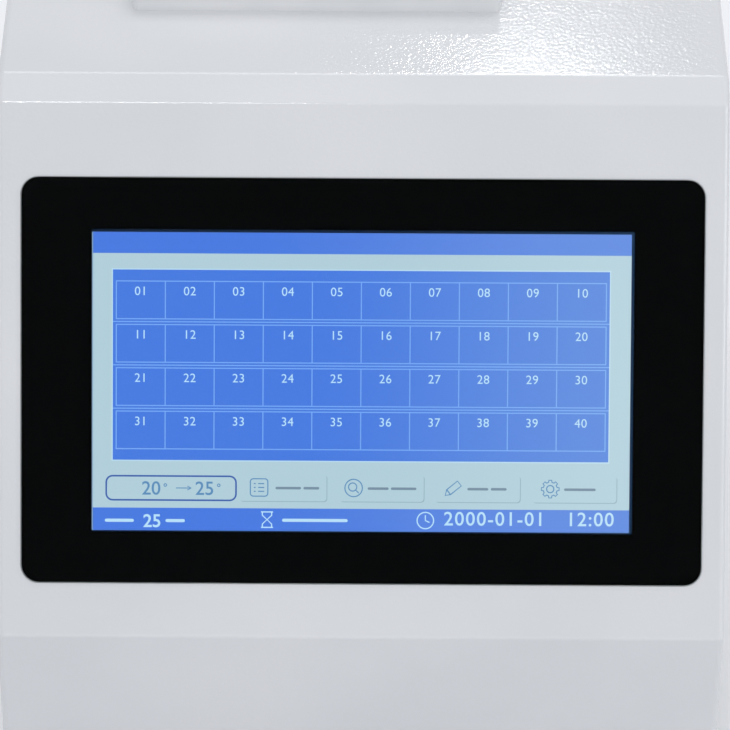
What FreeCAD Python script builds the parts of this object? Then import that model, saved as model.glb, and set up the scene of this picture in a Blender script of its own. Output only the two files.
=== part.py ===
"""Automatic sedimentation rate analyzer: a desktop instrument in a folded steel casing.

Row frame: +Z up, the front faces -Y, +X is to the right of someone in front of it. The origin lies under
the middle of the whole instrument, at the height of what it stands on. Lengths are millimetres.
"""
import FreeCAD, Part
import math
import os
import re

import Sketcher

# How many of each repeated thing the instrument has.
WELLS = 10
ROWS = 4
BLADES = 7
VENTS = 8
LOUVRES = 8

# Driving sizes. Each is one cell of the sheet; angles are degrees.
SIZES = {
    # Casing of folded and welded sheet steel
    "case_width": 300.0,
    "lower_front": 60.0,
    "face_length": 220.0,
    "face_lean": 34.0,
    "chamfer_length": 13.6,
    "chamfer_slope": 28.0,
    "deck_depth": 185.0,
    "steel_gauge": 1.5,
    "fold_radius": 3.2,
    "edge_radius": 3.0,
    "flange_width": 12.0,
    "panel_inset": 1.0,
    "panel_corner": 4.0,
    "seat_gap": 0.3,
    "running_gap": 0.05,
    "root_depth": 1.0,
    "tool_over": 1.0,
    "vent_width": 4.0,
    "vent_length": 60.0,
    "vent_pitch": 12.0,
    # Rubber feet and screws
    "foot_height": 12.0,
    "foot_radius": 10.0,
    "foot_taper": 1.5,
    "foot_inset": 26.0,
    "foot_recess": 5.0,
    "screw_head": 2.8,
    "screw_head_height": 1.8,
    "screw_radius": 1.5,
    "screw_length": 8.0,
    "screw_margin": 40.0,
    "foot_nut": 4.0,
    # Cover glass and screen
    "glass_width": 281.5,
    "glass_height": 167.5,
    "glass_gauge": 2.0,
    "glass_corner": 8.0,
    "glass_chamfer": 0.5,
    "glass_below": 22.3,
    "glass_gap": 0.4,
    "screen_width": 222.7,
    "screen_height": 125.3,
    "screen_recess": 0.4,
    "module_width": 235.0,
    "module_height": 143.0,
    "module_depth": 5.5,
    "ear_reach": 6.0,
    "ear_width": 16.0,
    "bracket_margin": 5.0,
    "bracket_lip": 9.0,
    "driver_width": 150.0,
    "driver_height": 90.0,
    "board_gauge": 1.6,
    "standoff_length": 6.0,
    "standoff_radius": 2.5,
    "standoff_inset": 5.0,
    "chip_side": 22.0,
    "chip_gauge": 2.0,
    "memory_width": 14.0,
    "memory_depth": 10.0,
    "memory_gauge": 1.5,
    "memory_gap": 6.0,
    "header_depth": 8.0,
    "header_height": 7.0,
    "header_inset": 7.0,
    "back_header": 60.0,
    "side_header": 40.0,
    # Raised tube rack on the deck
    "rack_beside": 5.0,
    "rack_end": 9.5,
    "rack_setback": 46.0,
    "rack_height": 14.0,
    "rack_corner": 3.0,
    "rack_rounding": 1.2,
    "rack_border": 3.0,
    "rack_border_deep": 6.0,
    "well_pitch": 13.5,
    "row_pitch": 21.0,
    "well_radius": 4.5,
    "bar_recess": 1.0,
    "bar_shoulder": 10.0,
    "bar_height": 18.0,
    "bar_gap": 0.4,
    "bar_ledge": 4.0,
    "tube_length": 120.0,
    "tube_proud": 12.0,
    # Measuring lift under the rack
    "rest_gauge": 6.0,
    "rest_border": 3.0,
    "groove_depth": 3.0,
    "post_radius": 6.0,
    "post_inset": 7.0,
    "lift_setback": 17.0,
    "rod_radius": 5.0,
    "rod_spacing": 104.0,
    "bush_radius": 9.5,
    "bush_length": 29.0,
    "bush_below": 11.5,
    "carriage_gap": 14.0,
    "carriage_gauge": 6.0,
    "carriage_overhang": 2.0,
    "carriage_border": 6.0,
    "slot_width": 11.0,
    "slot_end": 2.5,
    "optic_height": 12.0,
    "optic_clearance": 0.6,
    "optic_end": 1.0,
    "top_block_height": 12.0,
    "top_block_reach": 14.0,
    "top_block_depth": 24.0,
    "lead_radius": 4.0,
    "lead_clear": 1.0,
    "lead_over": 2.0,
    "nut_radius": 5.1,
    "nut_flange": 11.0,
    "nut_flange_gauge": 3.5,
    "nut_length": 18.5,
    "bearing_radius": 8.0,
    "bearing_width": 5.0,
    "motor_side": 42.3,
    "motor_height": 34.0,
    "motor_corner": 4.0,
    "motor_floor": 2.0,
    "shaft_end": 1.0,
    "pilot_radius": 11.0,
    "pilot_height": 2.0,
    "sensor_width": 14.0,
    "sensor_depth": 7.0,
    "sensor_height": 12.0,
    "sensor_slot": 3.0,
    "sensor_floor": 3.0,
    "sensor_across": 30.0,
    "sensor_behind": 18.0,
    "flag_width": 8.0,
    "flag_gauge": 1.0,
    "flag_drop": 9.5,
    "flag_foot": 7.0,
    # Electrics on the base plate
    "main_width": 170.0,
    "main_depth": 110.0,
    "main_margin": 25.0,
    "main_setback": 32.0,
    "supply_width": 74.0,
    "supply_depth": 118.0,
    "supply_height": 38.0,
    "supply_margin": 14.0,
    "supply_clear": 28.0,
    "supply_shell": 1.2,
    "terminal_depth": 14.0,
    "terminal_up": 10.0,
    "capacitor_radius": 5.0,
    "capacitor_height": 14.0,
    "capacitor_across": 50.0,
    "capacitor_pitch": 14.0,
    # Rear panel fittings
    "rear_projection": 2.5,
    "inlet_width": 50.0,
    "inlet_height": 28.0,
    "inlet_corner": 3.0,
    "inlet_up": 62.0,
    "inlet_body_width": 28.0,
    "inlet_body_height": 21.0,
    "inlet_body_depth": 20.0,
    "inlet_wall": 2.0,
    "pin_width": 2.0,
    "pin_height": 4.0,
    "pin_reach": 12.0,
    "pin_pitch": 7.0,
    "pin_rise": 2.0,
    "switch_step": 77.0,
    "switch_width": 21.0,
    "switch_height": 30.0,
    "switch_rim": 2.0,
    "switch_wall": 1.6,
    "switch_depth": 18.0,
    "rocker_gap": 0.5,
    "rocker_tilt": 8.0,
    "rocker_gauge": 5.0,
    "rocker_room": 11.0,
    "rocker_sink": 1.0,
    "rocker_rise": 0.6,
    "rocker_relief": 0.3,
    "rocker_pin": 1.5,
    "axle_wall": 0.5,
    "axle_gap": 0.2,
    "fan_side": 60.0,
    "fan_depth": 15.0,
    "fan_bore": 28.0,
    "fan_up": 122.0,
    "fan_hub": 11.0,
    "fan_tip_gap": 1.0,
    "fan_strut": 3.0,
    "blade_gauge": 1.2,
    "blade_pitch": 38.0,
    "blade_depth": 9.0,
    "hub_seat": 3.0,
    "hub_inset": 1.0,
    "fan_pin": 1.5,
    "fan_pin_end": 0.5,
    "grille_slot": 3.4,
    "grille_web": 2.8,
    "louvre_width": 90.0,
    "port_up": 48.0,
    "port_margin": 25.0,
    "port_lip": 0.5,
    "port_floor": 2.0,
    "network_width": 15.0,
    "network_height": 12.0,
    "network_wall": 2.0,
    "network_long": 12.0,
    "usb_step": 27.0,
    "usb_width": 14.2,
    "usb_height": 7.0,
    "usb_wall": 1.0,
    "usb_long": 12.0,
    "serial_step": 65.0,
    "serial_width": 19.0,
    "serial_height": 10.5,
    "serial_wall": 1.2,
    "serial_slant": 1.5,
    "serial_long": 10.0,
    "serial_recess": 6.0,
    "tongue_width": 12.5,
    "tongue_height": 3.5,
    "clip_step": 28.0,
    "clip_up": 24.0,
    "clip_width": 12.0,
    "clip_depth": 6.0,
    "clip_height": 10.0,
    "probe_radius": 2.5,
    "probe_length": 22.0,
    # Strip printer on the deck
    "printer_margin": 7.0,
    "printer_setback": 61.0,
    "bezel_width": 78.0,
    "bezel_depth": 112.0,
    "bezel_corner": 4.0,
    "bezel_gauge": 2.5,
    "console_gauge": 2.8,
    "tray_width": 67.0,
    "tray_wall": 2.0,
    "cradle_radius": 24.0,
    "cradle_behind": 18.0,
    "cradle_drop": 26.0,
    "throat_depth": 28.0,
    "throat_front": 34.0,
    "lid_gauge": 2.5,
    "lid_overlap": 1.5,
    "lip_run": 3.0,
    "lip_drop": 1.0,
    "lid_front": 19.0,
    "paper_gap": 1.2,
    "hinge_behind": 48.0,
    "hinge_radius": 3.2,
    "hinge_pin": 1.5,
    "hinge_ear": 4.0,
    "ear_relief": 1.5,
    "arm_gauge": 2.0,
    "arm_width": 7.0,
    "platen_radius": 5.0,
    "platen_length": 56.0,
    "platen_shaft": 2.0,
    "platen_gap": 1.2,
    "platen_drop": 4.0,
    "head_depth": 14.0,
    "head_width": 58.0,
    "head_height": 22.0,
    "paper_radius": 21.0,
    "paper_width": 57.0,
    "paper_core": 6.0,
    "button_radius": 4.5,
    "button_height": 5.6,
    "button_proud": 2.0,
    "button_floor": 0.6,
    "button_across": -22.0,
    "button_front": 38.0,
}

# Sizes and places that follow from the driving ones.
PLACES = {
    "face_run": "face_length*sin(face_lean)",
    "face_rise": "face_length*cos(face_lean)",
    "chamfer_run": "chamfer_length*cos(chamfer_slope)",
    "chamfer_rise": "chamfer_length*sin(chamfer_slope)",
    "case_depth": "face_run + chamfer_run + deck_depth",
    "front_y": "-(case_depth + steel_gauge + rear_projection)/2",
    "back_y": "front_y + case_depth",
    "panel_y": "back_y + steel_gauge",
    "middle_y": "front_y + case_depth/2",
    "body_z": "foot_height + steel_gauge",
    "fold_z": "body_z + lower_front",
    "face_top_y": "front_y + face_run",
    "face_top_z": "fold_z + face_rise",
    "deck_y": "face_top_y + chamfer_run",
    "deck_z": "face_top_z + chamfer_rise",
    "under_deck": "deck_z - steel_gauge",
    "sheet_cut": "3*steel_gauge",
    "case_height": "deck_z - body_z",
    "glass_up": "glass_below + glass_height/2",
    "module_back": "-steel_gauge - module_depth",
    "driver_back": "module_back - standoff_length - board_gauge",
    "rack_front": "deck_y + rack_setback",
    "supply_across": "case_width/2 - supply_margin - supply_width/2",
    "rack_width": f"{WELLS}*well_pitch + 2*rack_end",
    "rack_centre": "supply_across - supply_width/2 - rack_beside - rack_width/2",
    "rows_deep": f"{ROWS}*row_pitch",
    "rack_depth": "rows_deep + 2*rack_border_deep",
    "rack_y": "rack_front + rack_depth/2",
    "rack_back": "rack_front + rack_depth",
    "bar_top": "deck_z + rack_height - bar_recess",
    "bar_length": "rack_width - 2*rack_border - 2*seat_gap",
    "bar_width": "row_pitch - bar_gap",
    "core_length": "bar_length - 2*bar_ledge - 2*seat_gap",
    "ledge_height": "rack_height - bar_recess - bar_shoulder",
    "rest_top": "deck_z + rack_height + tube_proud - tube_length",
    "rest_z": "rest_top - rest_gauge",
    "lift_y": "rack_back + lift_setback",
    "rest_back": "lift_y + motor_side/2 + rest_border",
    "rest_depth": "rest_back - rack_front",
    "carriage_z": "rest_top + carriage_gap",
    "carriage_front": "rack_front - carriage_overhang",
    "carriage_back": "lift_y + bush_radius + carriage_border",
    "top_block_z": "under_deck - top_block_height",
    "slot_length": f"{WELLS}*well_pitch + 2*slot_end",
    "shaft_z": "rest_z - motor_height + motor_floor",
    "main_across": "-(case_width/2 - main_margin - main_width/2)",
    "main_y": "front_y + main_setback + main_depth/2",
    "supply_y": "back_y - supply_clear - supply_depth/2",
    "inlet_z": "body_z + inlet_up",
    "fan_z": "body_z + fan_up",
    "port_z": "body_z + port_up",
    "switch_across": "supply_across - switch_step",
    "rocker_y": "panel_y - rocker_pin - rocker_sink",
    "rocker_hole": "switch_width - 4*switch_wall",
    "rocker_long": "switch_height - 3*switch_wall",
    "axle_long": "switch_width - 2*switch_wall - 2*axle_wall",
    "network_across": "-(case_width/2 - port_margin)",
    "usb_across": "network_across + usb_step",
    "serial_across": "network_across + serial_step",
    "louvre_across": "network_across + louvre_width/2",
    "printer_across": "case_width/2 - printer_margin - bezel_width/2",
    "printer_y": "deck_y + printer_setback + bezel_depth/2",
    "bezel_top": "deck_z + bezel_gauge",
    "console_depth": "bezel_depth/2 - lid_front - paper_gap",
    "console_y": "printer_y - bezel_depth/2 + console_depth/2",
    "hinge_y": "printer_y + hinge_behind",
    "hinge_z": "bezel_top + seat_gap + hinge_radius",
    "cradle_y": "printer_y + cradle_behind",
    "cradle_z": "deck_z - cradle_drop",
    "head_y": "printer_y - throat_front + head_depth/2",
    "platen_y": "printer_y - throat_front + head_depth + platen_gap + platen_radius",
    "platen_z": "deck_z - platen_drop",
    "lid_y": "printer_y - lid_front",
    "lid_z": "bezel_top + seat_gap",
    "arm_across": "platen_length/2 + seat_gap + arm_gauge/2",
    "arm_drop": "lid_z - platen_z",
    "tray_outer": "tray_width + 2*tray_wall",
    "roll_z": "cradle_z - cradle_radius + paper_radius + seat_gap",
}

X_AXIS = FreeCAD.Vector(1, 0, 0)
Y_AXIS = FreeCAD.Vector(0, 1, 0)
WORD = re.compile(r"[A-Za-z_][A-Za-z_0-9]*")

doc = FreeCAD.newDocument("Analyzer")
sheet = doc.addObject("Spreadsheet::Sheet", "Sizes")
pieces = []


def fill_sheet():
    """Write every driving size into the sheet under its own alias."""
    for row, (name, value) in enumerate(SIZES.items(), start=1):
        sheet.set(f"A{row}", name)
        sheet.set(f"B{row}", str(value))
        sheet.setAlias(f"B{row}", name)
    doc.recompute()


def bound(text):
    """Write a size or place in terms of the sheet's cells."""

    def swap(match):
        word = match.group(0)
        if word in SIZES:
            return "Sizes." + word
        if word in PLACES:
            return "(" + bound(PLACES[word]) + ")"
        return word

    return WORD.sub(swap, str(text))


def number(text):
    """The present value of a size or place."""
    return float(sheet.evalExpression(bound(text)))


def place(thing, at, axis=None, angle="0"):
    """Put a thing at a point, turned about one axis, both given in terms of the sheet."""
    if axis is not None:
        thing.Placement = FreeCAD.Placement(FreeCAD.Vector(), FreeCAD.Rotation(axis, number(angle)))
        thing.setExpression("Placement.Rotation.Angle", bound(angle))
    for letter, value in zip("xyz", at):
        thing.setExpression("Placement.Base." + letter, bound(value))
    return thing


def on_face(thing, across="0", up="glass_up", out="0"):
    """Put a thing on the display face: its own Z points out of the face, its Y up the slope."""
    at = (
        across,
        f"front_y + ({up})*sin(face_lean) - ({out})*cos(face_lean)",
        f"fold_z + ({up})*cos(face_lean) + ({out})*sin(face_lean)",
    )
    return place(thing, at, X_AXIS, "90 - face_lean")


def block(size, at):
    """A box whose bottom face is centred on a point."""
    thing = doc.addObject("Part::Box", "Block")
    for name, value in zip(("Length", "Width", "Height"), size):
        thing.setExpression(name, bound(value))
    corner = (f"({at[0]}) - ({size[0]})/2", f"({at[1]}) - ({size[1]})/2", at[2])
    return place(thing, corner)


def hexagon(radius, length, at, along="z"):
    """A six-sided bar that starts at a point and runs along one axis."""
    thing = doc.addObject("Part::Prism", "Hexagon")
    thing.setExpression("Circumradius", bound(radius))
    thing.setExpression("Height", bound(length))
    if along == "y":
        return place(thing, at, X_AXIS, "-90")
    return place(thing, at)


def rod(radius, length, at, along="z"):
    """A cylinder that starts at a point and runs along one axis."""
    thing = doc.addObject("Part::Cylinder", "Rod")
    thing.setExpression("Radius", bound(radius))
    thing.setExpression("Height", bound(length))
    if along == "x":
        return place(thing, at, Y_AXIS, "90")
    if along == "y":
        return place(thing, at, X_AXIS, "-90")
    return place(thing, at)


def fuse(*parts):
    """One solid from parts that meet."""
    thing = doc.addObject("Part::MultiFuse", "Fusion")
    thing.Shapes = list(parts)
    return thing


def group(*parts):
    """Separate solids kept together."""
    thing = doc.addObject("Part::Compound", "Group")
    thing.Links = list(parts)
    return thing


def cut(base, *tools):
    """A part with others taken out of it."""
    thing = doc.addObject("Part::Cut", "Cut")
    thing.Base = base
    thing.Tool = tools[0] if len(tools) == 1 else fuse(*tools)
    return thing


def piece(name, thing):
    """Name a finished piece and keep it for export."""
    thing.Label = name
    pieces.append(thing)
    return thing


def new_sketch(body, role):
    """A sketch on one of a body's own origin planes."""
    sketch = body.newObject("Sketcher::SketchObject", "Sketch")
    plane = [item for item in body.Origin.OriginFeatures if item.Role == role][0]
    sketch.AttachmentSupport = (plane, [""])
    sketch.MapMode = "FlatFace"
    return sketch


def dimension(sketch, kind, *where_and_text):
    """Add a dimension to a sketch and bind it to the sheet."""
    *where, text = where_and_text
    index = sketch.addConstraint(Sketcher.Constraint(kind, *where, number(text)))
    sketch.setExpression(f"Constraints[{index}]", bound(text))


def outline(body, role, points):
    """A closed outline of straight lines through points given in terms of the sheet."""
    sketch = new_sketch(body, role)
    corners = [FreeCAD.Vector(number(a), number(b), 0) for a, b in points]
    count = len(corners)
    for index in range(count):
        sketch.addGeometry(Part.LineSegment(corners[index], corners[(index + 1) % count]), False)
    for index in range(count):
        sketch.addConstraint(Sketcher.Constraint("Coincident", index, 2, (index + 1) % count, 1))
    for index, (a, b) in enumerate(points):
        dimension(sketch, "DistanceX", -1, 1, index, 1, a)
        dimension(sketch, "DistanceY", -1, 1, index, 1, b)
    return sketch


def rounded_outline(body, width, height, corner):
    """A rectangle with rounded corners, centred on the origin of the body's XY plane."""
    sketch = new_sketch(body, "XY_Plane")
    half_w = number(width) / 2
    half_h = number(height) / 2
    radius = number(corner)
    in_w = half_w - radius
    in_h = half_h - radius
    ends = [
        ((-in_w, -half_h), (in_w, -half_h), (in_w, -in_h)),
        ((half_w, -in_h), (half_w, in_h), (in_w, in_h)),
        ((in_w, half_h), (-in_w, half_h), (-in_w, in_h)),
        ((-half_w, in_h), (-half_w, -in_h), (-in_w, -in_h)),
    ]
    normal = FreeCAD.Vector(0, 0, 1)
    for side, (start, end, centre) in enumerate(ends):
        sketch.addGeometry(Part.LineSegment(FreeCAD.Vector(*start, 0), FreeCAD.Vector(*end, 0)), False)
        circle = Part.Circle(FreeCAD.Vector(*centre, 0), normal, radius)
        first = math.radians(90 * side - 90)
        sketch.addGeometry(Part.ArcOfCircle(circle, first, first + math.pi / 2), False)
    for index in range(8):
        sketch.addConstraint(Sketcher.Constraint("Tangent", index, 2, (index + 1) % 8, 1))
    for index in (0, 4):
        sketch.addConstraint(Sketcher.Constraint("Horizontal", index))
    for index in (2, 6):
        sketch.addConstraint(Sketcher.Constraint("Vertical", index))
    for index in (3, 5, 7):
        sketch.addConstraint(Sketcher.Constraint("Equal", 1, index))
    dimension(sketch, "Radius", 1, corner)
    dimension(sketch, "DistanceY", -1, 1, 0, 1, f"-({height})/2")
    dimension(sketch, "DistanceY", -1, 1, 4, 1, f"({height})/2")
    dimension(sketch, "DistanceX", -1, 1, 2, 1, f"({width})/2")
    dimension(sketch, "DistanceX", -1, 1, 6, 1, f"-({width})/2")
    return sketch


def new_body(name):
    """An empty body for features."""
    return doc.addObject("PartDesign::Body", name)


def pad(body, sketch, length, middle=False):
    """Raise a sketch into a solid, up from its plane or both ways."""
    feature = body.newObject("PartDesign::Pad", "Pad")
    feature.Profile = sketch
    feature.Midplane = middle
    feature.setExpression("Length", bound(length))
    doc.recompute()
    return feature


def turn(body, sketch):
    """Revolve a sketch about the body's own Z axis."""
    feature = body.newObject("PartDesign::Revolution", "Revolution")
    feature.Profile = sketch
    axis = [item for item in body.Origin.OriginFeatures if item.Role == "Z_Axis"][0]
    feature.ReferenceAxis = (axis, [""])
    feature.Angle = 360
    doc.recompute()
    return feature


def repeat_round(body, feature, count):
    """Repeat a feature evenly round the body's own Z axis."""
    pattern = body.newObject("PartDesign::PolarPattern", "Pattern")
    pattern.Originals = [feature]
    axis = [item for item in body.Origin.OriginFeatures if item.Role == "Z_Axis"][0]
    pattern.Axis = (axis, [""])
    pattern.Angle = 360
    pattern.Occurrences = count
    body.Tip = pattern
    doc.recompute()
    return pattern


def edge_names(shape, wanted):
    """The names of the edges that a test picks."""
    return [f"Edge{index}" for index, edge in enumerate(shape.Edges, start=1) if wanted(edge.BoundBox)]


def round_edges(body, feature, wanted, radius, kind="PartDesign::Fillet"):
    """Round or chamfer the edges of a feature that a test picks."""
    finish = body.newObject(kind, "Edges")
    finish.Base = (feature, edge_names(feature.Shape, wanted))
    finish.setExpression("Radius" if kind.endswith("Fillet") else "Size", bound(radius))
    doc.recompute()
    return finish


def slab(width, height, corner, gauge):
    """A plate with rounded corners, centred on its own origin and rising from it."""
    body = new_body("Slab")
    pad(body, rounded_outline(body, width, height, corner), gauge)
    return body


def well_across(index):
    """The middle of one well of a row, from left to right."""
    return f"rack_centre + ({index} - {(WELLS - 1) / 2})*well_pitch"


def row_place(row):
    """The middle of one row of wells, from front to back."""
    return f"rack_y + ({row} - {(ROWS - 1) / 2})*row_pitch"


def flange_points():
    """Where the base screws and the rear screws pass the casing's flanges."""
    side = "case_width/2 - flange_width/2"
    sides = (f"-({side})", side)
    base = [(x, y) for x in sides for y in ("front_y + screw_margin", "middle_y", "back_y - screw_margin")]
    heights = ("body_z + screw_margin", "body_z + case_height/2", "deck_z - screw_margin")
    rear = [(x, z) for x in sides for z in heights]
    return base, rear


def screw(at, along, length="screw_length"):
    """A hexagon-head screw: the head starts at a point and the shank runs on from it."""
    head = hexagon("screw_head", "screw_head_height", at, along)
    if along == "y":
        after = (at[0], f"({at[1]}) - ({length})", at[2])
    else:
        after = (at[0], at[1], f"({at[2]}) + screw_head_height")
    return fuse(head, rod("screw_radius", length, after, along))


def casing_blank():
    """The closed folded form: a side profile drawn out to the full width, folds and side edges rounded."""
    body = new_body("Casing")
    profile = [
        ("front_y", "body_z"),
        ("front_y", "fold_z"),
        ("face_top_y", "face_top_z"),
        ("deck_y", "deck_z"),
        ("back_y", "deck_z"),
        ("back_y", "body_z"),
    ]
    solid = pad(body, outline(body, "YZ_Plane", profile), "case_width", middle=True)
    half = number("case_width/2")
    low = number("body_z") + 0.01
    back = number("back_y") - 0.01

    def is_fold(box):
        return box.XLength > half and box.ZMax > low

    folded = round_edges(body, solid, is_fold, "fold_radius")

    def is_side(box):
        return box.XLength < 0.01 and box.YMin < back and box.ZMax > low

    round_edges(body, folded, is_side, "edge_radius")
    return body


def casing():
    """Folded casing with flanges, its base plate, its rear panel and their screws."""
    base_points, rear_points = flange_points()
    body = casing_blank()
    inner = doc.addObject("Part::Offset", "Inner")
    inner.Source = body
    inner.Mode = 0
    inner.Join = 2
    inner.setExpression("Value", bound("-steel_gauge"))
    glass_hole = slab("glass_width + 2*glass_gap", "glass_height + 2*glass_gap", "glass_corner + glass_gap",
                      "sheet_cut")
    on_face(glass_hole, out="-2*steel_gauge")
    inside = "case_width - 2*flange_width"
    tray_long = "cradle_behind + cradle_radius + throat_front + 2*tray_wall + 2*seat_gap"
    tray_y = "printer_y + (cradle_behind + cradle_radius - throat_front)/2"
    openings = [
        glass_hole,
        block((inside, "case_depth - 2*flange_width", "sheet_cut"),
              ("0", "middle_y", "body_z - steel_gauge")),
        block((inside, "sheet_cut", "case_height - 2*flange_width"),
              ("0", "back_y", "body_z + flange_width")),
        block(("core_length + 2*seat_gap", "rows_deep + 2*seat_gap", "sheet_cut"),
              ("rack_centre", "rack_y", "deck_z - 2*steel_gauge")),
        block(("tray_outer + 2*seat_gap", tray_long, "sheet_cut"),
              ("printer_across", tray_y, "deck_z - 2*steel_gauge")),
    ]
    for x, y in base_points:
        openings.append(rod("screw_radius", "sheet_cut", (x, y, "body_z - steel_gauge")))
    for x, z in rear_points:
        openings.append(rod("screw_radius", "sheet_cut", (x, "back_y - 2*steel_gauge", z), "y"))
    piece("housing_shell", cut(body, inner, *openings))

    plate = slab("case_width - 2*panel_inset", "case_depth - 2*panel_inset", "panel_corner", "steel_gauge")
    place(plate, ("0", "middle_y", "foot_height"))
    below = "foot_height - steel_gauge"
    holes = [rod("screw_radius", "sheet_cut", (x, y, below)) for x, y in base_points + foot_points()]
    for index in range(VENTS):
        across = f"main_across + ({index} - {(VENTS - 1) / 2})*vent_pitch"
        holes.append(block(("vent_width", "vent_length", "sheet_cut"), (across, "main_y", below)))
    piece("base_plate", cut(plate, *holes))

    panel = slab("case_width - 2*panel_inset", "case_height - 2*panel_inset", "panel_corner", "steel_gauge")
    place(panel, ("0", "panel_y", "body_z + case_height/2"), X_AXIS, "90")
    holes = [rod("screw_radius", "sheet_cut", (x, "back_y - steel_gauge", z), "y") for x, z in rear_points]
    piece("rear_panel", cut(panel, *holes, *rear_cutouts()))

    head_z = "foot_height - screw_head_height"
    piece("base_screws", group(*[screw((x, y, head_z), "z") for x, y in base_points]))
    piece("rear_screws", group(*[screw((x, "panel_y", z), "y") for x, z in rear_points]))


def foot_points():
    """The four places of the rubber feet."""
    side = "case_width/2 - foot_inset"
    return [(x, y) for y in ("front_y + foot_inset", "back_y - foot_inset") for x in (f"-({side})", side)]


def feet():
    """Four rubber feet, each with a recess for the screw that holds it."""
    rubber = []
    screws = []
    for x, y in foot_points():
        body = new_body("Foot")
        inner = "screw_head + seat_gap"
        profile = [
            (inner, "0"),
            ("foot_radius - foot_taper", "0"),
            ("foot_radius", "foot_height/3"),
            ("foot_radius", "foot_height"),
            ("screw_radius", "foot_height"),
            ("screw_radius", "foot_recess"),
            (inner, "foot_recess"),
        ]
        turn(body, outline(body, "XZ_Plane", profile))
        rubber.append(place(body, (x, y, "0")))
        through = "foot_height - foot_recess + steel_gauge + foot_nut"
        screws.append(screw((x, y, "foot_recess - screw_head_height"), "z", through))
    piece("rubber_feet", group(*rubber))
    piece("foot_screws", group(*screws))


def components(across, along, width, depth, level, below=False):
    """What stands on one side of a board: a chip, a memory beside it and sockets along two edges."""

    def stand(size, x, y):
        foot = f"{level} - {size[2]}" if below else level
        return block(size, (f"{across} + {x}", f"{along} + {y}", foot))

    return [
        stand(("chip_side", "chip_side", "chip_gauge"), "0", "0"),
        stand(("memory_width", "memory_depth", "memory_gauge"),
              "chip_side/2 + memory_gap + memory_width/2", "0"),
        stand(("back_header", "header_depth", "header_height"), "0", f"-({depth}/2 - header_inset)"),
        stand(("header_depth", "side_header", "header_height"), f"-({width}/2 - header_inset)", "0"),
    ]


def standoffs(across, along, width, depth, at):
    """Four hexagon standoffs under a board's corners."""
    corners = []
    for a in ("-1", "1"):
        for b in ("-1", "1"):
            x = f"{across} + {a}*({width}/2 - standoff_inset)"
            y = f"{along} + {b}*({depth}/2 - standoff_inset)"
            corners.append(hexagon("standoff_radius", "standoff_length", (x, y, at)))
    return group(*corners)


def display():
    """Cover glass, screen module, its bracket and the driver board behind it."""
    glass = new_body("Glass")
    flat = pad(glass, rounded_outline(glass, "glass_width", "glass_height", "glass_corner"), "glass_gauge")
    top = number("glass_gauge") - 0.01
    round_edges(glass, flat, lambda box: box.ZMin > top, "glass_chamfer", "PartDesign::Chamfer")
    piece("cover_glass", on_face(glass, out="-steel_gauge"))

    width = "glass_width + 2*bracket_margin"
    height = "glass_height + 2*bracket_margin"
    plate = slab(width, height, "glass_corner", "steel_gauge")
    place(plate, ("0", "0", "-2*steel_gauge"))
    lips = []
    for side in ("-1", "1"):
        lips.append(block((f"({width}) - 2*glass_corner", "steel_gauge", "bracket_lip + steel_gauge"),
                          ("0", f"{side}*(({height}) - steel_gauge)/2", "-2*steel_gauge - bracket_lip")))
    window = block(("module_width + 2*seat_gap", "module_height + 2*seat_gap", "sheet_cut"),
                   ("0", "0", "-3*steel_gauge"))
    piece("display_bracket", on_face(cut(fuse(plate, *lips), window)))

    module = block(("module_width", "module_height", "module_depth"), ("0", "0", "module_back"))
    ears = [block(("module_width + 2*ear_reach", "ear_width", "steel_gauge"),
                  ("0", f"{side}*module_height/3", "-3*steel_gauge")) for side in ("-1", "1")]
    recess = block(("screen_width", "screen_height", "2*screen_recess"),
                   ("0", "0", "-steel_gauge - screen_recess"))
    piece("lcd_module", on_face(cut(fuse(module, *ears), recess)))

    posts = standoffs("0", "0", "driver_width", "driver_height", "module_back - standoff_length")
    piece("display_standoffs", on_face(posts))
    board = block(("driver_width", "driver_height", "board_gauge"), ("0", "0", "driver_back"))
    parts = components("0", "0", "driver_width", "driver_height", "driver_back", below=True)
    piece("display_board", on_face(fuse(board, *parts)))


def rack():
    """The raised rack on the deck and its bars of tube wells."""
    body = new_body("Rack")
    solid = pad(body, rounded_outline(body, "rack_width", "rack_depth", "rack_corner"), "rack_height")
    top = number("rack_height") - 0.01
    round_edges(body, solid, lambda box: box.ZMin > top, "rack_rounding", "PartDesign::Chamfer")
    place(body, ("rack_centre", "rack_y", "deck_z"))
    rows = "rows_deep + 2*seat_gap"
    upper = block(("bar_length + 2*seat_gap", rows, "rack_height"),
                  ("rack_centre", "rack_y", "deck_z + ledge_height"))
    lower = block(("core_length + 2*seat_gap", rows, "rack_height"),
                  ("rack_centre", "rack_y", "deck_z - rack_height/2"))
    piece("rack_surround", cut(body, upper, lower))
    for row in range(ROWS):
        y = row_place(row)
        shoulder = block(("bar_length", "bar_width", "bar_shoulder"),
                         ("rack_centre", y, "bar_top - bar_shoulder"))
        core = block(("core_length", "bar_width", "bar_height"),
                     ("rack_centre", y, "bar_top - bar_height"))
        wells = []
        for index in range(WELLS):
            at = (well_across(index), y, "bar_top - bar_height - tool_over")
            wells.append(rod("well_radius", "bar_height + 2*tool_over", at))
        piece(f"well_bar_{row + 1}", cut(fuse(shoulder, core), *wells))


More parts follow.
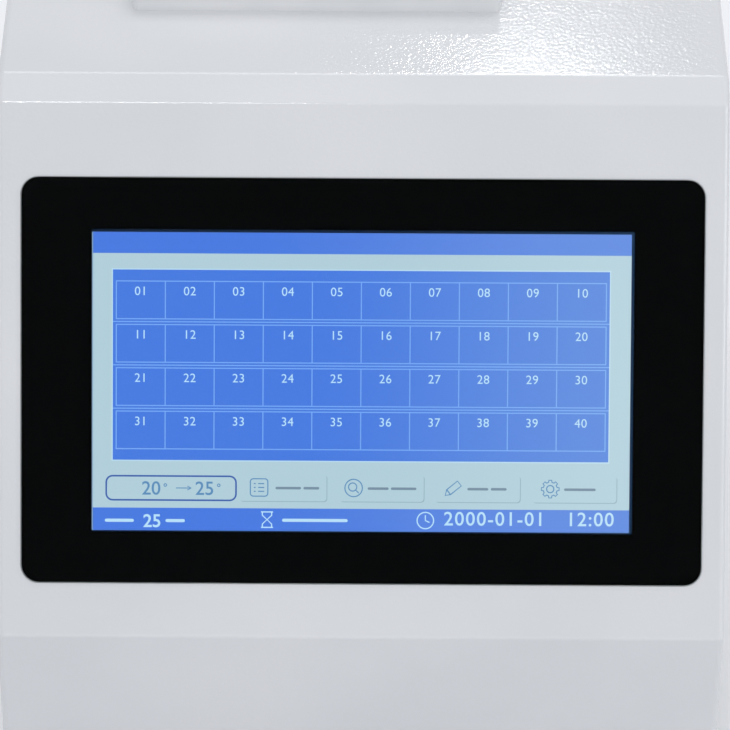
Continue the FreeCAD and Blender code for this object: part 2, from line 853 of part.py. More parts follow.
def lift():
    """The frame under the rack: rest plate, posts, rods, top block, motor, screw and home sensor."""
    middle = "(rack_front + rest_back)/2"
    plate = block(("rack_width", "rest_depth", "rest_gauge"), ("rack_centre", middle, "rest_z"))
    rods = [f"rack_centre + {side}*rod_spacing/2" for side in ("-1", "1")]
    through = "rest_gauge + 2*tool_over"
    cuts = [rod("rod_radius", through, (x, "lift_y", "rest_z - tool_over")) for x in rods]
    cuts.append(rod("pilot_radius", through, ("rack_centre", "lift_y", "rest_z - tool_over")))
    for row in range(ROWS):
        cuts.append(block(("slot_length", "2*well_radius", "rest_gauge"),
                          ("rack_centre", row_place(row), "rest_top - groove_depth")))
    piece("tube_rest_plate", cut(plate, *cuts))
    posts = []
    for side in ("-1", "1"):
        x = f"rack_centre + {side}*(rack_width/2 - post_inset)"
        for y in ("rack_front + post_inset", "lift_y"):
            posts.append(hexagon("post_radius", "rest_z - body_z", (x, y, "body_z")))
    piece("frame_posts", group(*posts))
    for name, x in zip(("guide_rod_left", "guide_rod_right"), rods):
        piece(name, rod("rod_radius", "under_deck - rest_z", (x, "lift_y", "rest_z")))

    block_size = ("rod_spacing + 2*top_block_reach", "top_block_depth", "top_block_height")
    top = block(block_size, ("rack_centre", "lift_y", "top_block_z"))
    under = "top_block_z - tool_over"
    through = "top_block_height + 2*tool_over"
    cuts = [rod("rod_radius", through, (x, "lift_y", under)) for x in rods]
    cuts.append(rod("bearing_radius", "bearing_width + tool_over", ("rack_centre", "lift_y", under)))
    cuts.append(rod("lead_radius + lead_clear", through, ("rack_centre", "lift_y", under)))
    piece("top_block", cut(top, *cuts))
    ring = rod("bearing_radius", "bearing_width", ("rack_centre", "lift_y", "top_block_z"))
    bore = rod("lead_radius + running_gap", "bearing_width + 2*tool_over", ("rack_centre", "lift_y", under))
    piece("screw_bearing", cut(ring, bore))

    case = slab("motor_side", "motor_side", "motor_corner", "motor_height")
    place(case, ("rack_centre", "lift_y", "rest_z - motor_height"))
    pilot = rod("pilot_radius", "pilot_height", ("rack_centre", "lift_y", "rest_z"))
    bore = rod("lead_radius + running_gap", "motor_height + pilot_height",
               ("rack_centre", "lift_y", "shaft_z"))
    piece("stepper_motor", cut(fuse(case, pilot), bore))
    long = "top_block_z + bearing_width + lead_over - (shaft_z + shaft_end)"
    piece("lead_screw", rod("lead_radius", long, ("rack_centre", "lift_y", "shaft_z + shaft_end")))

    x = "rack_centre - sensor_across"
    y = "lift_y + sensor_behind"
    sensor = block(("sensor_width", "sensor_depth", "sensor_height"), (x, y, "rest_top"))
    slot = block(("sensor_width + 2*tool_over", "sensor_slot", "sensor_height"),
                 (x, y, "rest_top + sensor_floor"))
    piece("home_sensor", cut(sensor, slot))
    carriage(rods, x, y)


def carriage(rods, flag_x, flag_y):
    """The carriage plate with its optics, bushes, nut and home flag."""
    plate = block(("rack_width", "carriage_back - carriage_front", "carriage_gauge"),
                  ("rack_centre", "(carriage_front + carriage_back)/2", "carriage_z"))
    under = "carriage_z - tool_over"
    through = "carriage_gauge + 2*tool_over"
    cuts = [block(("slot_length", "slot_width", through), ("rack_centre", row_place(row), under))
            for row in range(ROWS)]
    cuts += [rod("bush_radius", through, (x, "lift_y", under)) for x in rods]
    cuts.append(rod("nut_radius", through, ("rack_centre", "lift_y", under)))
    piece("carriage_plate", cut(plate, *cuts))
    bushes = []
    for x in rods:
        ring = rod("bush_radius", "bush_length", (x, "lift_y", "carriage_z - bush_below"))
        bore = rod("rod_radius + running_gap", "bush_length + 2*tool_over",
                   (x, "lift_y", "carriage_z - bush_below - tool_over"))
        bushes.append(cut(ring, bore))
    piece("guide_bushes", group(*bushes))
    for name, side in (("emitter_boards", "-1"), ("detector_boards", "1")):
        boards = []
        for row in range(ROWS):
            y = f"({row_place(row)}) + {side}*(slot_width/2 + optic_clearance + board_gauge/2)"
            boards.append(block(("slot_length - 2*optic_end", "board_gauge", "optic_height"),
                                ("rack_centre", y, "carriage_z + carriage_gauge")))
        piece(name, group(*boards))
    low = "carriage_z - nut_flange_gauge"
    barrel = rod("nut_radius", "nut_length", ("rack_centre", "lift_y", low))
    collar = hexagon("nut_flange", "nut_flange_gauge", ("rack_centre", "lift_y", low))
    bore = rod("lead_radius + running_gap", "nut_length + 2*tool_over",
               ("rack_centre", "lift_y", f"{low} - tool_over"))
    piece("lead_nut", cut(fuse(barrel, collar), bore))
    flag = block(("flag_width", "flag_gauge", "flag_drop"), (flag_x, flag_y, "carriage_z - flag_drop"))
    foot = block(("flag_width", "flag_foot", "flag_gauge"),
                 (flag_x, f"{flag_y} - (flag_foot - flag_gauge)/2", "carriage_z - flag_gauge"))
    piece("home_flag", fuse(flag, foot))


def rear_cutouts():
    """Holes in the rear panel for the inlet, switch, fan, ports and air."""
    hole_height = "(switch_height - 2*switch_wall)"
    cuts = [
        block(("inlet_body_width", "sheet_cut", "inlet_body_height"),
              ("supply_across", "back_y", "inlet_z - inlet_body_height/2")),
        block(("switch_width - 2*switch_wall", "sheet_cut", hole_height),
              ("switch_across", "back_y", f"inlet_z - {hole_height}/2")),
    ]
    for name in ("network", "usb", "serial"):
        height = f"({name}_height - 2*port_lip)"
        cuts.append(block((f"{name}_width - 2*port_lip", "sheet_cut", height),
                          (f"{name}_across", "back_y", f"port_z - {height}/2")))
    for index in range(LOUVRES):
        step = f"({index} - {(LOUVRES - 1) / 2})*(grille_slot + grille_web)"
        chord = f"2*fan_bore*cos(asin(abs({step})/fan_bore))"
        z = f"fan_z + {step} - grille_slot/2"
        cuts.append(block((chord, "sheet_cut", "grille_slot"), ("supply_across", "back_y", z)))
        cuts.append(block(("louvre_width", "sheet_cut", "grille_slot"), ("louvre_across", "back_y", z)))
    return cuts


def electrics():
    """Main board, power supply and what is fitted in the rear panel."""
    piece("board_standoffs", standoffs("main_across", "main_y", "main_width", "main_depth", "body_z"))
    level = "body_z + standoff_length + board_gauge"
    board = block(("main_width", "main_depth", "board_gauge"),
                  ("main_across", "main_y", "body_z + standoff_length"))
    parts = components("main_across", "main_y", "main_width", "main_depth", level)
    for side in ("-1", "1"):
        at = ("main_across + capacitor_across", f"main_y + {side}*capacitor_pitch/2", level)
        parts.append(rod("capacitor_radius", "capacitor_height", at))
    piece("main_board", fuse(board, *parts))
    supply = block(("supply_width", "supply_depth", "supply_height"), ("supply_across", "supply_y", "body_z"))
    bay_y = "supply_y + supply_depth/2 - terminal_depth/2 + supply_shell"
    bay = block(("supply_width - 2*supply_shell", "terminal_depth", "supply_height"),
                ("supply_across", bay_y, "body_z + supply_shell + terminal_up"))
    piece("power_supply", cut(supply, bay))
    inlet()
    power_switch()
    fan()
    ports()


def inlet():
    """The mains inlet: a flange, an open well through the panel and three flat pins."""
    flange = slab("inlet_width", "inlet_height", "inlet_corner", "rear_projection")
    place(flange, ("supply_across", "panel_y + rear_projection", "inlet_z"), X_AXIS, "90")
    well = block(("inlet_body_width", "inlet_body_depth", "inlet_body_height"),
                 ("supply_across", "panel_y - inlet_body_depth/2", "inlet_z - inlet_body_height/2"))
    mouth = block(("inlet_body_width - 2*inlet_wall", "inlet_body_depth", "inlet_body_height - 2*inlet_wall"),
                  ("supply_across", "panel_y - inlet_body_depth/2 + rear_projection",
                   "inlet_z - inlet_body_height/2 + inlet_wall"))
    shell = cut(fuse(flange, well), mouth)
    floor_y = "panel_y - inlet_body_depth + rear_projection"
    pins = []
    for across, up in (("-1", "-1"), ("0", "1"), ("1", "-1")):
        pins.append(block(("pin_width", "pin_reach + root_depth", "pin_height"),
                          (f"supply_across + {across}*pin_pitch", f"{floor_y} + (pin_reach - root_depth)/2",
                           f"inlet_z + {up}*pin_rise - pin_height/2")))
    piece("inlet_socket", fuse(shell, *pins))


def power_switch():
    """The mains switch: a frame in the panel and a rocker on its own axle."""
    rim = block(("switch_width", "switch_rim", "switch_height"),
                ("switch_across", "panel_y + switch_rim/2", "inlet_z - switch_height/2"))
    tub = block(("switch_width - 2*switch_wall", "switch_depth", "switch_height - 2*switch_wall"),
                ("switch_across", "panel_y - switch_depth/2", "inlet_z - switch_height/2 + switch_wall"))
    hollow = block(("rocker_hole", "rocker_room", "rocker_long"),
                   ("switch_across", "panel_y + switch_rim - rocker_room/2", "inlet_z - rocker_long/2"))
    axle = rod("rocker_pin + running_gap", "axle_long",
               ("switch_across - axle_long/2", "rocker_y", "inlet_z"), "x")
    piece("switch_frame", cut(fuse(rim, tub), hollow, axle))
    key_height = "rocker_long - 2*rocker_gap - 2*rocker_relief"
    key = block(("rocker_hole - 2*rocker_gap", "rocker_gauge", key_height),
                ("0", "rocker_rise", f"-({key_height})/2"))
    stub = rod("rocker_pin", "axle_long - 2*axle_gap", ("axle_gap - axle_long/2", "0", "0"), "x")
    rocker = place(fuse(key, stub), ("switch_across", "rocker_y", "inlet_z"), X_AXIS, "rocker_tilt")
    piece("power_rocker", rocker)


def ports():
    """Network, USB and serial sockets behind the panel, and the room temperature sensor."""
    for name in ("network", "usb"):
        long = f"{name}_long"
        shell = block((f"{name}_width", long, f"{name}_height"),
                      (f"{name}_across", f"back_y - {long}/2", f"port_z - {name}_height/2"))
        mouth = block((f"{name}_width - 2*{name}_wall", long, f"{name}_height - 2*{name}_wall"),
                      (f"{name}_across", f"back_y - {long}/2 + port_floor",
                       f"port_z - {name}_height/2 + {name}_wall"))
        piece(f"{name}_port", cut(shell, mouth))
    shell = block(("serial_width", "serial_long", "serial_height"),
                  ("serial_across", "back_y - serial_long/2", "port_z - serial_height/2"))
    body = new_body("Serial")
    across = "serial_width/2 - serial_wall"
    up = "serial_height/2 - serial_wall"
    profile = [
        (f"-({across})", up),
        (across, up),
        (f"{across} - serial_slant", f"-({up})"),
        (f"serial_slant - ({across})", f"-({up})"),
    ]
    pad(body, outline(body, "XZ_Plane", profile), "2*serial_recess", middle=True)
    place(body, ("serial_across", "back_y", "port_z"))
    tongue = block(("tongue_width", "serial_recess - root_depth", "tongue_height"),
                   ("serial_across", "back_y - (serial_recess + 3*root_depth)/2", "port_z - tongue_height/2"))
    piece("serial_port", fuse(cut(shell, body), tongue))
    x = "serial_across + clip_step"
    z = "port_z + clip_up"
    y = "back_y - clip_depth/2"
    clip = block(("clip_width", "clip_depth", "clip_height"), (x, y, z))
    probe = rod("probe_radius", "probe_length", (f"{x} - probe_length/2", y, f"{z} + clip_height/2"), "x")
    piece("room_sensor", fuse(clip, probe))


def fan():
    """The cooling fan: a square frame with its bearing seat, and the rotor that turns in it."""
    front = "back_y - fan_depth"
    before = f"{front} - tool_over"
    frame = block(("fan_side", "fan_depth", "fan_side"),
                  ("supply_across", f"{front} + fan_depth/2", "fan_z - fan_side/2"))
    bore = rod("fan_bore", "fan_depth + 2*tool_over", ("supply_across", before, "fan_z"), "y")
    hub = rod("fan_hub", "hub_seat", ("supply_across", front, "fan_z"), "y")
    reach = "2*fan_bore + 2*root_depth"
    mid = f"{front} + hub_seat/2"
    struts = [
        block((reach, "hub_seat", "fan_strut"), ("supply_across", mid, "fan_z - fan_strut/2")),
        block(("fan_strut", "hub_seat", reach), ("supply_across", mid, "fan_z - fan_bore - root_depth")),
    ]
    pin_hole = rod("fan_pin + running_gap", "hub_seat + 2*tool_over", ("supply_across", before, "fan_z"), "y")
    piece("fan_frame", cut(fuse(cut(frame, bore), hub, *struts), pin_hole))

    body = new_body("Rotor")
    profile = [
        ("0", "fan_pin_end"),
        ("fan_pin", "fan_pin_end"),
        ("fan_pin", "hub_seat + seat_gap"),
        ("fan_hub", "hub_seat + seat_gap"),
        ("fan_hub", "fan_depth - hub_inset"),
        ("0", "fan_depth - hub_inset"),
    ]
    turn(body, outline(body, "XZ_Plane", profile))
    middle = "(hub_seat + fan_depth)/2"
    corners = []
    for a, b in (("-1", "-1"), ("1", "-1"), ("1", "1"), ("-1", "1")):
        along = f"({a}*blade_depth*cos(blade_pitch) - ({b})*blade_gauge*sin(blade_pitch))/2"
        up = f"({a}*blade_depth*sin(blade_pitch) + ({b})*blade_gauge*cos(blade_pitch))/2"
        corners.append((along, f"{middle} + {up}"))
    blade = pad(body, outline(body, "YZ_Plane", corners), "fan_bore - fan_tip_gap")
    repeat_round(body, blade, BLADES)
    piece("fan_rotor", place(body, ("supply_across", front, "fan_z"), X_AXIS, "-90"))


def printer():
    """The strip printer: housing, lid with its roller, print head, paper and feed button."""
    printer_housing()
    printer_lid()
    x = "printer_across"
    head = block(("head_width", "head_depth", "head_height"), (x, "head_y", "deck_z - throat_depth"))
    piece("print_head", head)
    roll = rod("paper_radius", "paper_width", (f"{x} - paper_width/2", "cradle_y", "roll_z"), "x")
    core = rod("paper_core", "paper_width + 2*tool_over",
               (f"{x} - paper_width/2 - tool_over", "cradle_y", "roll_z"), "x")
    piece("paper_roll", cut(roll, core))
    bottom = "bezel_top + console_gauge + button_proud - button_height"
    at = (f"{x} + button_across", "printer_y - button_front", bottom)
    piece("feed_button", rod("button_radius", "button_height", at))


def printer_housing():
    """Bezel on the deck, console for the button, and the tray that cradles the paper roll."""
    x = "printer_across"
    bezel = slab("bezel_width", "bezel_depth", "bezel_corner", "bezel_gauge")
    place(bezel, (x, "printer_y", "deck_z"))
    console = block(("tray_outer", "console_depth - bezel_corner", "console_gauge + root_depth"),
                    (x, "console_y + bezel_corner/2", "bezel_top - root_depth"))
    throat_long = "(throat_front + cradle_behind)"
    throat_y = "printer_y - (throat_front - cradle_behind)/2"
    throat = block(("tray_outer", f"{throat_long} + tray_wall", "throat_depth + tray_wall + root_depth"),
                   (x, f"{throat_y} - tray_wall/2", "deck_z - throat_depth - tray_wall"))
    shoulder = block(("tray_outer", "2*cradle_radius + 2*tray_wall", "cradle_drop + root_depth"),
                     (x, "cradle_y", "cradle_z"))
    cradle = rod("cradle_radius + tray_wall", "tray_outer",
                 (f"{x} - tray_outer/2", "cradle_y", "cradle_z"), "x")
    ears = []
    pin_holes = []
    for side in ("-1", "1"):
        ear_x = f"{x} + {side}*(tray_outer - hinge_ear)/2"
        ears.append(rod("hinge_radius", "hinge_ear", (f"{ear_x} - hinge_ear/2", "hinge_y", "hinge_z"), "x"))
        ears.append(block(("hinge_ear", "2*hinge_radius", "hinge_radius + seat_gap + root_depth"),
                          (ear_x, "hinge_y", "bezel_top - root_depth")))
        pin_holes.append(rod("hinge_pin", "hinge_ear + 2*tool_over",
                             (f"{ear_x} - hinge_ear/2 - tool_over", "hinge_y", "hinge_z"), "x"))
    solid = fuse(bezel, console, throat, shoulder, cradle, *ears)
    mouth_long = "(cradle_behind + cradle_radius + lid_front + paper_gap)"
    voids = [
        block(("tray_width", mouth_long, "bezel_gauge + console_gauge + 2*tool_over"),
              (x, f"cradle_y + cradle_radius - {mouth_long}/2", "deck_z - tool_over")),
        block(("tray_width", throat_long, "throat_depth"), (x, throat_y, "deck_z - throat_depth")),
        block(("tray_width", "2*cradle_radius", "cradle_drop"), (x, "cradle_y", "cradle_z")),
        rod("cradle_radius", "tray_width", (f"{x} - tray_width/2", "cradle_y", "cradle_z"), "x"),
        rod("button_radius + seat_gap", "bezel_gauge + console_gauge + tool_over",
            (f"{x} + button_across", "printer_y - button_front", "deck_z + button_floor")),
        *pin_holes,
    ]
    piece("printer_housing", cut(solid, *voids))


def printer_lid():
    """The lid over the paper, its hinge pin, and the rubber roller that it carries on two arms."""
    x = "printer_across"
    body = new_body("Lid")
    profile = [
        ("lid_y", "lid_z"),
        ("hinge_y", "lid_z"),
        ("hinge_y", "lid_z + lid_gauge"),
        ("lid_y + lip_run", "lid_z + lid_gauge"),
        ("lid_y", "lid_z + lid_gauge - lip_drop"),
    ]
    pad(body, outline(body, "YZ_Plane", profile), "tray_width + 2*lid_overlap", middle=True)
    place(body, (x, "0", "0"))
    long = "(tray_outer - 2*hinge_ear - 2*seat_gap)"
    barrel = rod("hinge_radius", long, (f"{x} - {long}/2", "hinge_y", "hinge_z"), "x")
    arms = []
    cuts = [rod("hinge_pin + running_gap", f"{long} + 2*tool_over",
                (f"{x} - {long}/2 - tool_over", "hinge_y", "hinge_z"), "x")]
    for side in ("-1", "1"):
        arm_x = f"{x} + {side}*arm_across"
        arms.append(block(("arm_gauge", "arm_width", "arm_drop + root_depth"),
                          (arm_x, "platen_y", "platen_z")))
        arms.append(rod("arm_width/2", "arm_gauge", (f"{arm_x} - arm_gauge/2", "platen_y", "platen_z"), "x"))
        cuts.append(rod("platen_shaft + running_gap", "arm_gauge + 2*tool_over",
                        (f"{arm_x} - arm_gauge/2 - tool_over", "platen_y", "platen_z"), "x"))
        relief = ("hinge_ear + 2*seat_gap + 2*tool_over", "2*hinge_radius + 2*ear_relief", "4*hinge_radius")
        ear_x = f"{x} + {side}*(tray_outer - hinge_ear)/2"
        cuts.append(block(relief, (ear_x, "hinge_y", "lid_z - hinge_radius")))
    piece("printer_door", cut(fuse(body, barrel, *arms), *cuts))
    piece("door_pin", rod("hinge_pin", "tray_outer", (f"{x} - tray_outer/2", "hinge_y", "hinge_z"), "x"))

    body = new_body("Platen")
    half = "platen_length/2"
    end = "arm_across + arm_gauge/2"
    profile = [
        ("0", f"-({end})"),
        ("platen_shaft", f"-({end})"),
        ("platen_shaft", f"-{half}"),
        ("platen_radius", f"-{half}"),
        ("platen_radius", half),
        ("platen_shaft", half),
        ("platen_shaft", end),
        ("0", end),
    ]
    turn(body, outline(body, "XZ_Plane", profile))
    piece("platen_roller", place(body, (x, "platen_y", "platen_z"), Y_AXIS, "90"))


def check_and_export():
    """Stop on any failed object or bad shape, then write one file for each piece."""
    doc.recompute()
    for thing in doc.Objects:
        if "Invalid" in thing.State or "Error" in thing.State:
            raise SystemExit(f"{thing.Label} did not build: {thing.State}")
    for thing in pieces:
        if thing.Shape.isNull() or not thing.Shape.isValid() or thing.Shape.Volume <= 0:
            raise SystemExit(f"{thing.Label} has no valid solid")
    os.makedirs("parts", exist_ok=True)
    for thing in pieces:
        thing.Shape.exportStep(f"parts/{thing.Label}.step")
        print(f"{thing.Label}: {len(thing.Shape.Solids)} solid(s), {thing.Shape.Volume / 1000:.1f} cm3")


fill_sheet()
casing()
feet()
display()
rack()
lift()
electrics()
printer()
check_and_export()
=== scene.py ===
"""Looks of an automatic sedimentation rate analyzer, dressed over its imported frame.

The instrument stands on a pale bench: a folded casing with an orange-peel powder coat, a leaning display
under a black-bordered cover glass, a raised rack of forty tube wells and a strip printer. Every piece sits
where the frame puts it. Lengths below are millimetres where a name ends in _mm or a class says so, and
metres once they reach a mesh.
"""
from __future__ import annotations

import logging
import math
from collections.abc import Iterable, Sequence
from dataclasses import dataclass, field
from enum import Enum
from typing import Protocol

import bmesh
import bpy
from mathutils import Matrix, Vector

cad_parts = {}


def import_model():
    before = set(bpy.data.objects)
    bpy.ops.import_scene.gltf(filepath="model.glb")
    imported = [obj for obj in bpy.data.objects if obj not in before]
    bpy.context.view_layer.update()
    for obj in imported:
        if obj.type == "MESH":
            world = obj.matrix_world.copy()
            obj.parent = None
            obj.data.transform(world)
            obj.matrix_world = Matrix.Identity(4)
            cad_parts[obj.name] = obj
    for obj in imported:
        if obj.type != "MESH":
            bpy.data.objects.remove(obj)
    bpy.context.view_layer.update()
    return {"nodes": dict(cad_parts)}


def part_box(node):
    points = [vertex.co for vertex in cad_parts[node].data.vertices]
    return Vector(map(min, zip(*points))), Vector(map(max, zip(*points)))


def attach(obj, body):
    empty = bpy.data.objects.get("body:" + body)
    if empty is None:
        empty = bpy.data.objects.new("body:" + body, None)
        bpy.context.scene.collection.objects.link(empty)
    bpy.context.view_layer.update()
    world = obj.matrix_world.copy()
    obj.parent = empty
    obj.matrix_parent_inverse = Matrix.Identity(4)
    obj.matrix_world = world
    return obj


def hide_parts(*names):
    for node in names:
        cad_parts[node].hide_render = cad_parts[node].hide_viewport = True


LOG = logging.getLogger("analyzer")
MM = 0.001
IMAGE_SIDE = 730
SMOOTH_LIMIT = math.radians(32)
FIGURE_SHARE = 0.72
FIGURE_GAUGE_MM = 0.04
OUTWARD = 0.97
FLAT = 0.99
SCREEN_MIDDLE_MM = 105.7
PATTERN_REACH = (0.3, 0.7)
WELD_DISTANCE = MM / 1000
LEVEL_DIGITS = 4
LEVEL_SLACK = MM / 10
FACE_WEIGHT = 100

Point = tuple[float, float]
Outline = list[Point]
Place = tuple[float, float, float]
Area = tuple[float, float, float, float]
Colours = tuple[str, str]
Word = tuple[str, float, float]
Stroke = tuple[Sequence[Point], bool]
Lamp = tuple[str, Place, Place, Point, float]
MaterialParts = tuple[bpy.types.Material, bpy.types.NodeTree, bpy.types.Node]


def linear(colour: str) -> Area:
    """Turn an sRGB hex colour into linear light.

    Args:
        colour: six hex digits after a hash sign.

    Returns:
        Red, green, blue and an alpha of one.
    """
    values = [int(colour[index:index + 2], 16) / 255 for index in (1, 3, 5)]
    light = [value / 12.92 if value <= 0.04045 else ((value + 0.055) / 1.055) ** 2.4 for value in values]
    return light[0], light[1], light[2], 1.0


def add(tree: bpy.types.NodeTree, kind: str, settings: dict[str, object] | None = None,
        inputs: dict[object, object] | None = None, **values: object) -> bpy.types.Node:
    """Add a node with its settings, input values and links.

    Args:
        tree: the node tree that gets the node.
        kind: the node's type name.
        settings: properties of the node itself.
        inputs: inputs by name or number; a socket is linked and anything else is set.
        values: input values by name, with spaces written as underscores.

    Returns:
        The new node.
    """
    node = tree.nodes.new(kind)
    for name, value in (settings or {}).items():
        setattr(node, name, value)
    for name, value in values.items():
        node.inputs[name.replace("_", " ")].default_value = value
    for name, value in (inputs or {}).items():
        if isinstance(value, bpy.types.NodeSocket):
            tree.links.new(value, node.inputs[name])
        else:
            node.inputs[name].default_value = value
    return node


def new_material(name: str, **values: object) -> MaterialParts:
    """Start a node material with its output already in place.

    Args:
        name: the finish's name.
        values: the shader's values by name, with spaces written as underscores.

    Returns:
        The material, its tree and its Principled shader.
    """
    material = bpy.data.materials.new(name)
    material.use_nodes = True
    tree = material.node_tree
    tree.nodes.clear()
    shader = add(tree, "ShaderNodeBsdfPrincipled", **values)
    add(tree, "ShaderNodeOutputMaterial", inputs={"Surface": shader.outputs[0]})
    return material, tree, shader


def grain(tree: bpy.types.NodeTree, feature_mm: float, detail: float = 2.0,
          stretch: Place = (1.0, 1.0, 1.0)) -> bpy.types.NodeSocket:
    """A random pattern in the piece's own coordinates whose features have a real size.

    Args:
        tree: the material's tree.
        feature_mm: the size of one lump.
        detail: how many finer layers lie on it.
        stretch: how much finer it is along each axis.

    Returns:
        The pattern's value.
    """
    where = add(tree, "ShaderNodeTexCoord")
    spread = add(tree, "ShaderNodeMapping", inputs={"Vector": where.outputs["Object"]}, Scale=stretch)
    lumps = add(tree, "ShaderNodeTexNoise", inputs={"Vector": spread.outputs[0]},
                Scale=1 / (feature_mm * MM), Detail=detail, Roughness=0.5)
    return lumps.outputs[0]


def blended(tree: bpy.types.NodeTree, pattern: bpy.types.NodeSocket, colours: Colours,
            reach: Point = PATTERN_REACH) -> bpy.types.NodeSocket:
    """Turn a pattern into a blend of two sRGB colours.

    Args:
        tree: the material's tree.
        pattern: the pattern's value.
        colours: the colours where it is low and where it is high.
        reach: the values that count as low and high.

    Returns:
        The blended colour.
    """
    share = add(tree, "ShaderNodeMapRange", {"interpolation_type": "SMOOTHSTEP"}, {"Value": pattern},
                From_Min=reach[0], From_Max=reach[1], To_Min=0.0, To_Max=1.0)
    one, two = (linear(colour) for colour in colours)
    mix = add(tree, "ShaderNodeMix", {"data_type": "RGBA"}, {"Factor": share.outputs[0], 6: one, 7: two})
    return mix.outputs[2]


def patterned(tree: bpy.types.NodeTree, shader: bpy.types.Node, pattern: bpy.types.NodeSocket,
              roughness: Point, colours: Colours | None = None,
              relief: bpy.types.NodeSocket | None = None, depth_mm: float = 0.0) -> None:
    """Let patterns drive a surface's roughness, colour and relief.

    Args:
        tree: the material's tree.
        shader: its shader.
        pattern: the pattern that spreads the roughness.
        roughness: its lowest and highest roughness.
        colours: its two colours, which the same pattern blends.
        relief: the pattern that raises it.
        depth_mm: what a full height of the relief stands for.
    """
    low, high = roughness
    rough = add(tree, "ShaderNodeMapRange", {"interpolation_type": "SMOOTHSTEP"}, {"Value": pattern},
                From_Min=PATTERN_REACH[0], From_Max=PATTERN_REACH[1], To_Min=low, To_Max=high)
    tree.links.new(rough.outputs[0], shader.inputs["Roughness"])
    if colours is not None:
        tree.links.new(blended(tree, pattern, colours), shader.inputs["Base Color"])
    if relief is not None:
        bump = add(tree, "ShaderNodeBump", inputs={"Height": relief}, Strength=1.0, Distance=depth_mm * MM)
        tree.links.new(bump.outputs[0], shader.inputs["Normal"])


def around(value: float, unevenness: Point) -> Point:
    """The lowest and highest value of something uneven."""
    return value + unevenness[0], value + unevenness[1]


class Finish(Protocol):
    """What every finish offers: its name and its node material."""

    @property
    def name(self) -> str:
        """The material's name."""

    def material(self) -> bpy.types.Material:
        """The finish as a node material."""


@dataclass(frozen=True)
class PowderCoat:
    """Polyester powder coat baked on steel: a glossy skin with the lumpy flow called orange peel.

    The lumps are 1.5 to 3 mm wide and less than a tenth of a millimetre high, so a reflection breaks up
    into a glitter along folds while flat faces stay even.
    """

    name: str
    colour: str
    shade: str
    roughness: float = 0.1
    unevenness: Point = (-0.03, 0.04)
    lump_mm: float = 1.7
    lump_depth_mm: float = 0.085
    finer: float = 3.0
    fine_share: float = 0.25
    cloud_mm: float = 90.0
    specular: float = 0.5

    def material(self) -> bpy.types.Material:
        """Make the coat's nodes.

        Returns:
            Its node material.
        """
        material, tree, shader = new_material(self.name, Specular_IOR_Level=self.specular)
        lumps = grain(tree, self.lump_mm, detail=1.5)
        fine = grain(tree, self.lump_mm / self.finer, detail=1.0)
        height = add(tree, "ShaderNodeMath", {"operation": "MULTIPLY_ADD"},
                     {0: fine, 1: self.fine_share, 2: lumps})
        patterned(tree, shader, grain(tree, self.cloud_mm), around(self.roughness, self.unevenness),
                  (self.colour, self.shade), height.outputs[0], self.lump_depth_mm)
        return material


@dataclass(frozen=True)
class MouldedPlastic:
    """Injection-moulded ABS with a fine spark-eroded grain that softens its highlights."""

    name: str
    colour: str
    shade: str
    roughness: float = 0.42
    unevenness: Point = (-0.05, 0.05)
    grain_mm: float = 0.5
    grain_depth_mm: float = 0.012
    cloud_mm: float = 35.0
    ior: float = 1.54

    def material(self) -> bpy.types.Material:
        """Make the plastic's nodes.

        Returns:
            Its node material.
        """
        material, tree, shader = new_material(self.name, IOR=self.ior)
        patterned(tree, shader, grain(tree, self.cloud_mm), around(self.roughness, self.unevenness),
                  (self.colour, self.shade), grain(tree, self.grain_mm, detail=3.0), self.grain_depth_mm)
        return material


class Lay(Enum):
    """Which way a metal's tool marks run."""

    ACROSS = (0.04, 1.0, 1.0)
    UP = (1.0, 1.0, 0.04)
    EVEN = (1.0, 1.0, 1.0)


@dataclass(frozen=True)
class WorkedMetal:
    """A bare or plated metal whose surface keeps the marks of how it was made.

    Brushed and ground metal has long fine lines, plated sheet has an even frost of crystals.
    """

    name: str
    colour: str
    shade: str
    roughness: float
    lay: Lay = Lay.EVEN
    mark_mm: float = 0.35
    mark_depth_mm: float = 0.006
    unevenness: Point = (-0.07, 0.08)
    cloud_mm: float = 22.0

    def material(self) -> bpy.types.Material:
        """Make the metal's nodes.

        Returns:
            Its node material.
        """
        material, tree, shader = new_material(self.name, Metallic=1.0)
        marks = grain(tree, self.mark_mm, detail=3.0, stretch=self.lay.value)
        patterned(tree, shader, marks, around(self.roughness, self.unevenness), relief=marks,
                  depth_mm=self.mark_depth_mm)
        clouds = blended(tree, grain(tree, self.cloud_mm, detail=3.0), (self.colour, self.shade))
        tree.links.new(clouds, shader.inputs["Base Color"])
        return material


@dataclass(frozen=True)
class Rubber:
    """Compression-moulded rubber: nearly black, dull, with a faint dusty bloom in patches."""

    name: str
    colour: str = "#17181a"
    bloom: str = "#26272a"
    roughness: float = 0.78
    unevenness: Point = (-0.08, 0.08)
    dust_mm: float = 4.0
    grain_mm: float = 0.7
    grain_depth_mm: float = 0.03

    def material(self) -> bpy.types.Material:
        """Make the rubber's nodes.

        Returns:
            Its node material.
        """
        material, tree, shader = new_material(self.name)
        dust = grain(tree, self.dust_mm, detail=4.0)
        patterned(tree, shader, dust, around(self.roughness, self.unevenness), (self.colour, self.bloom),
                  grain(tree, self.grain_mm), self.grain_depth_mm)
        return material


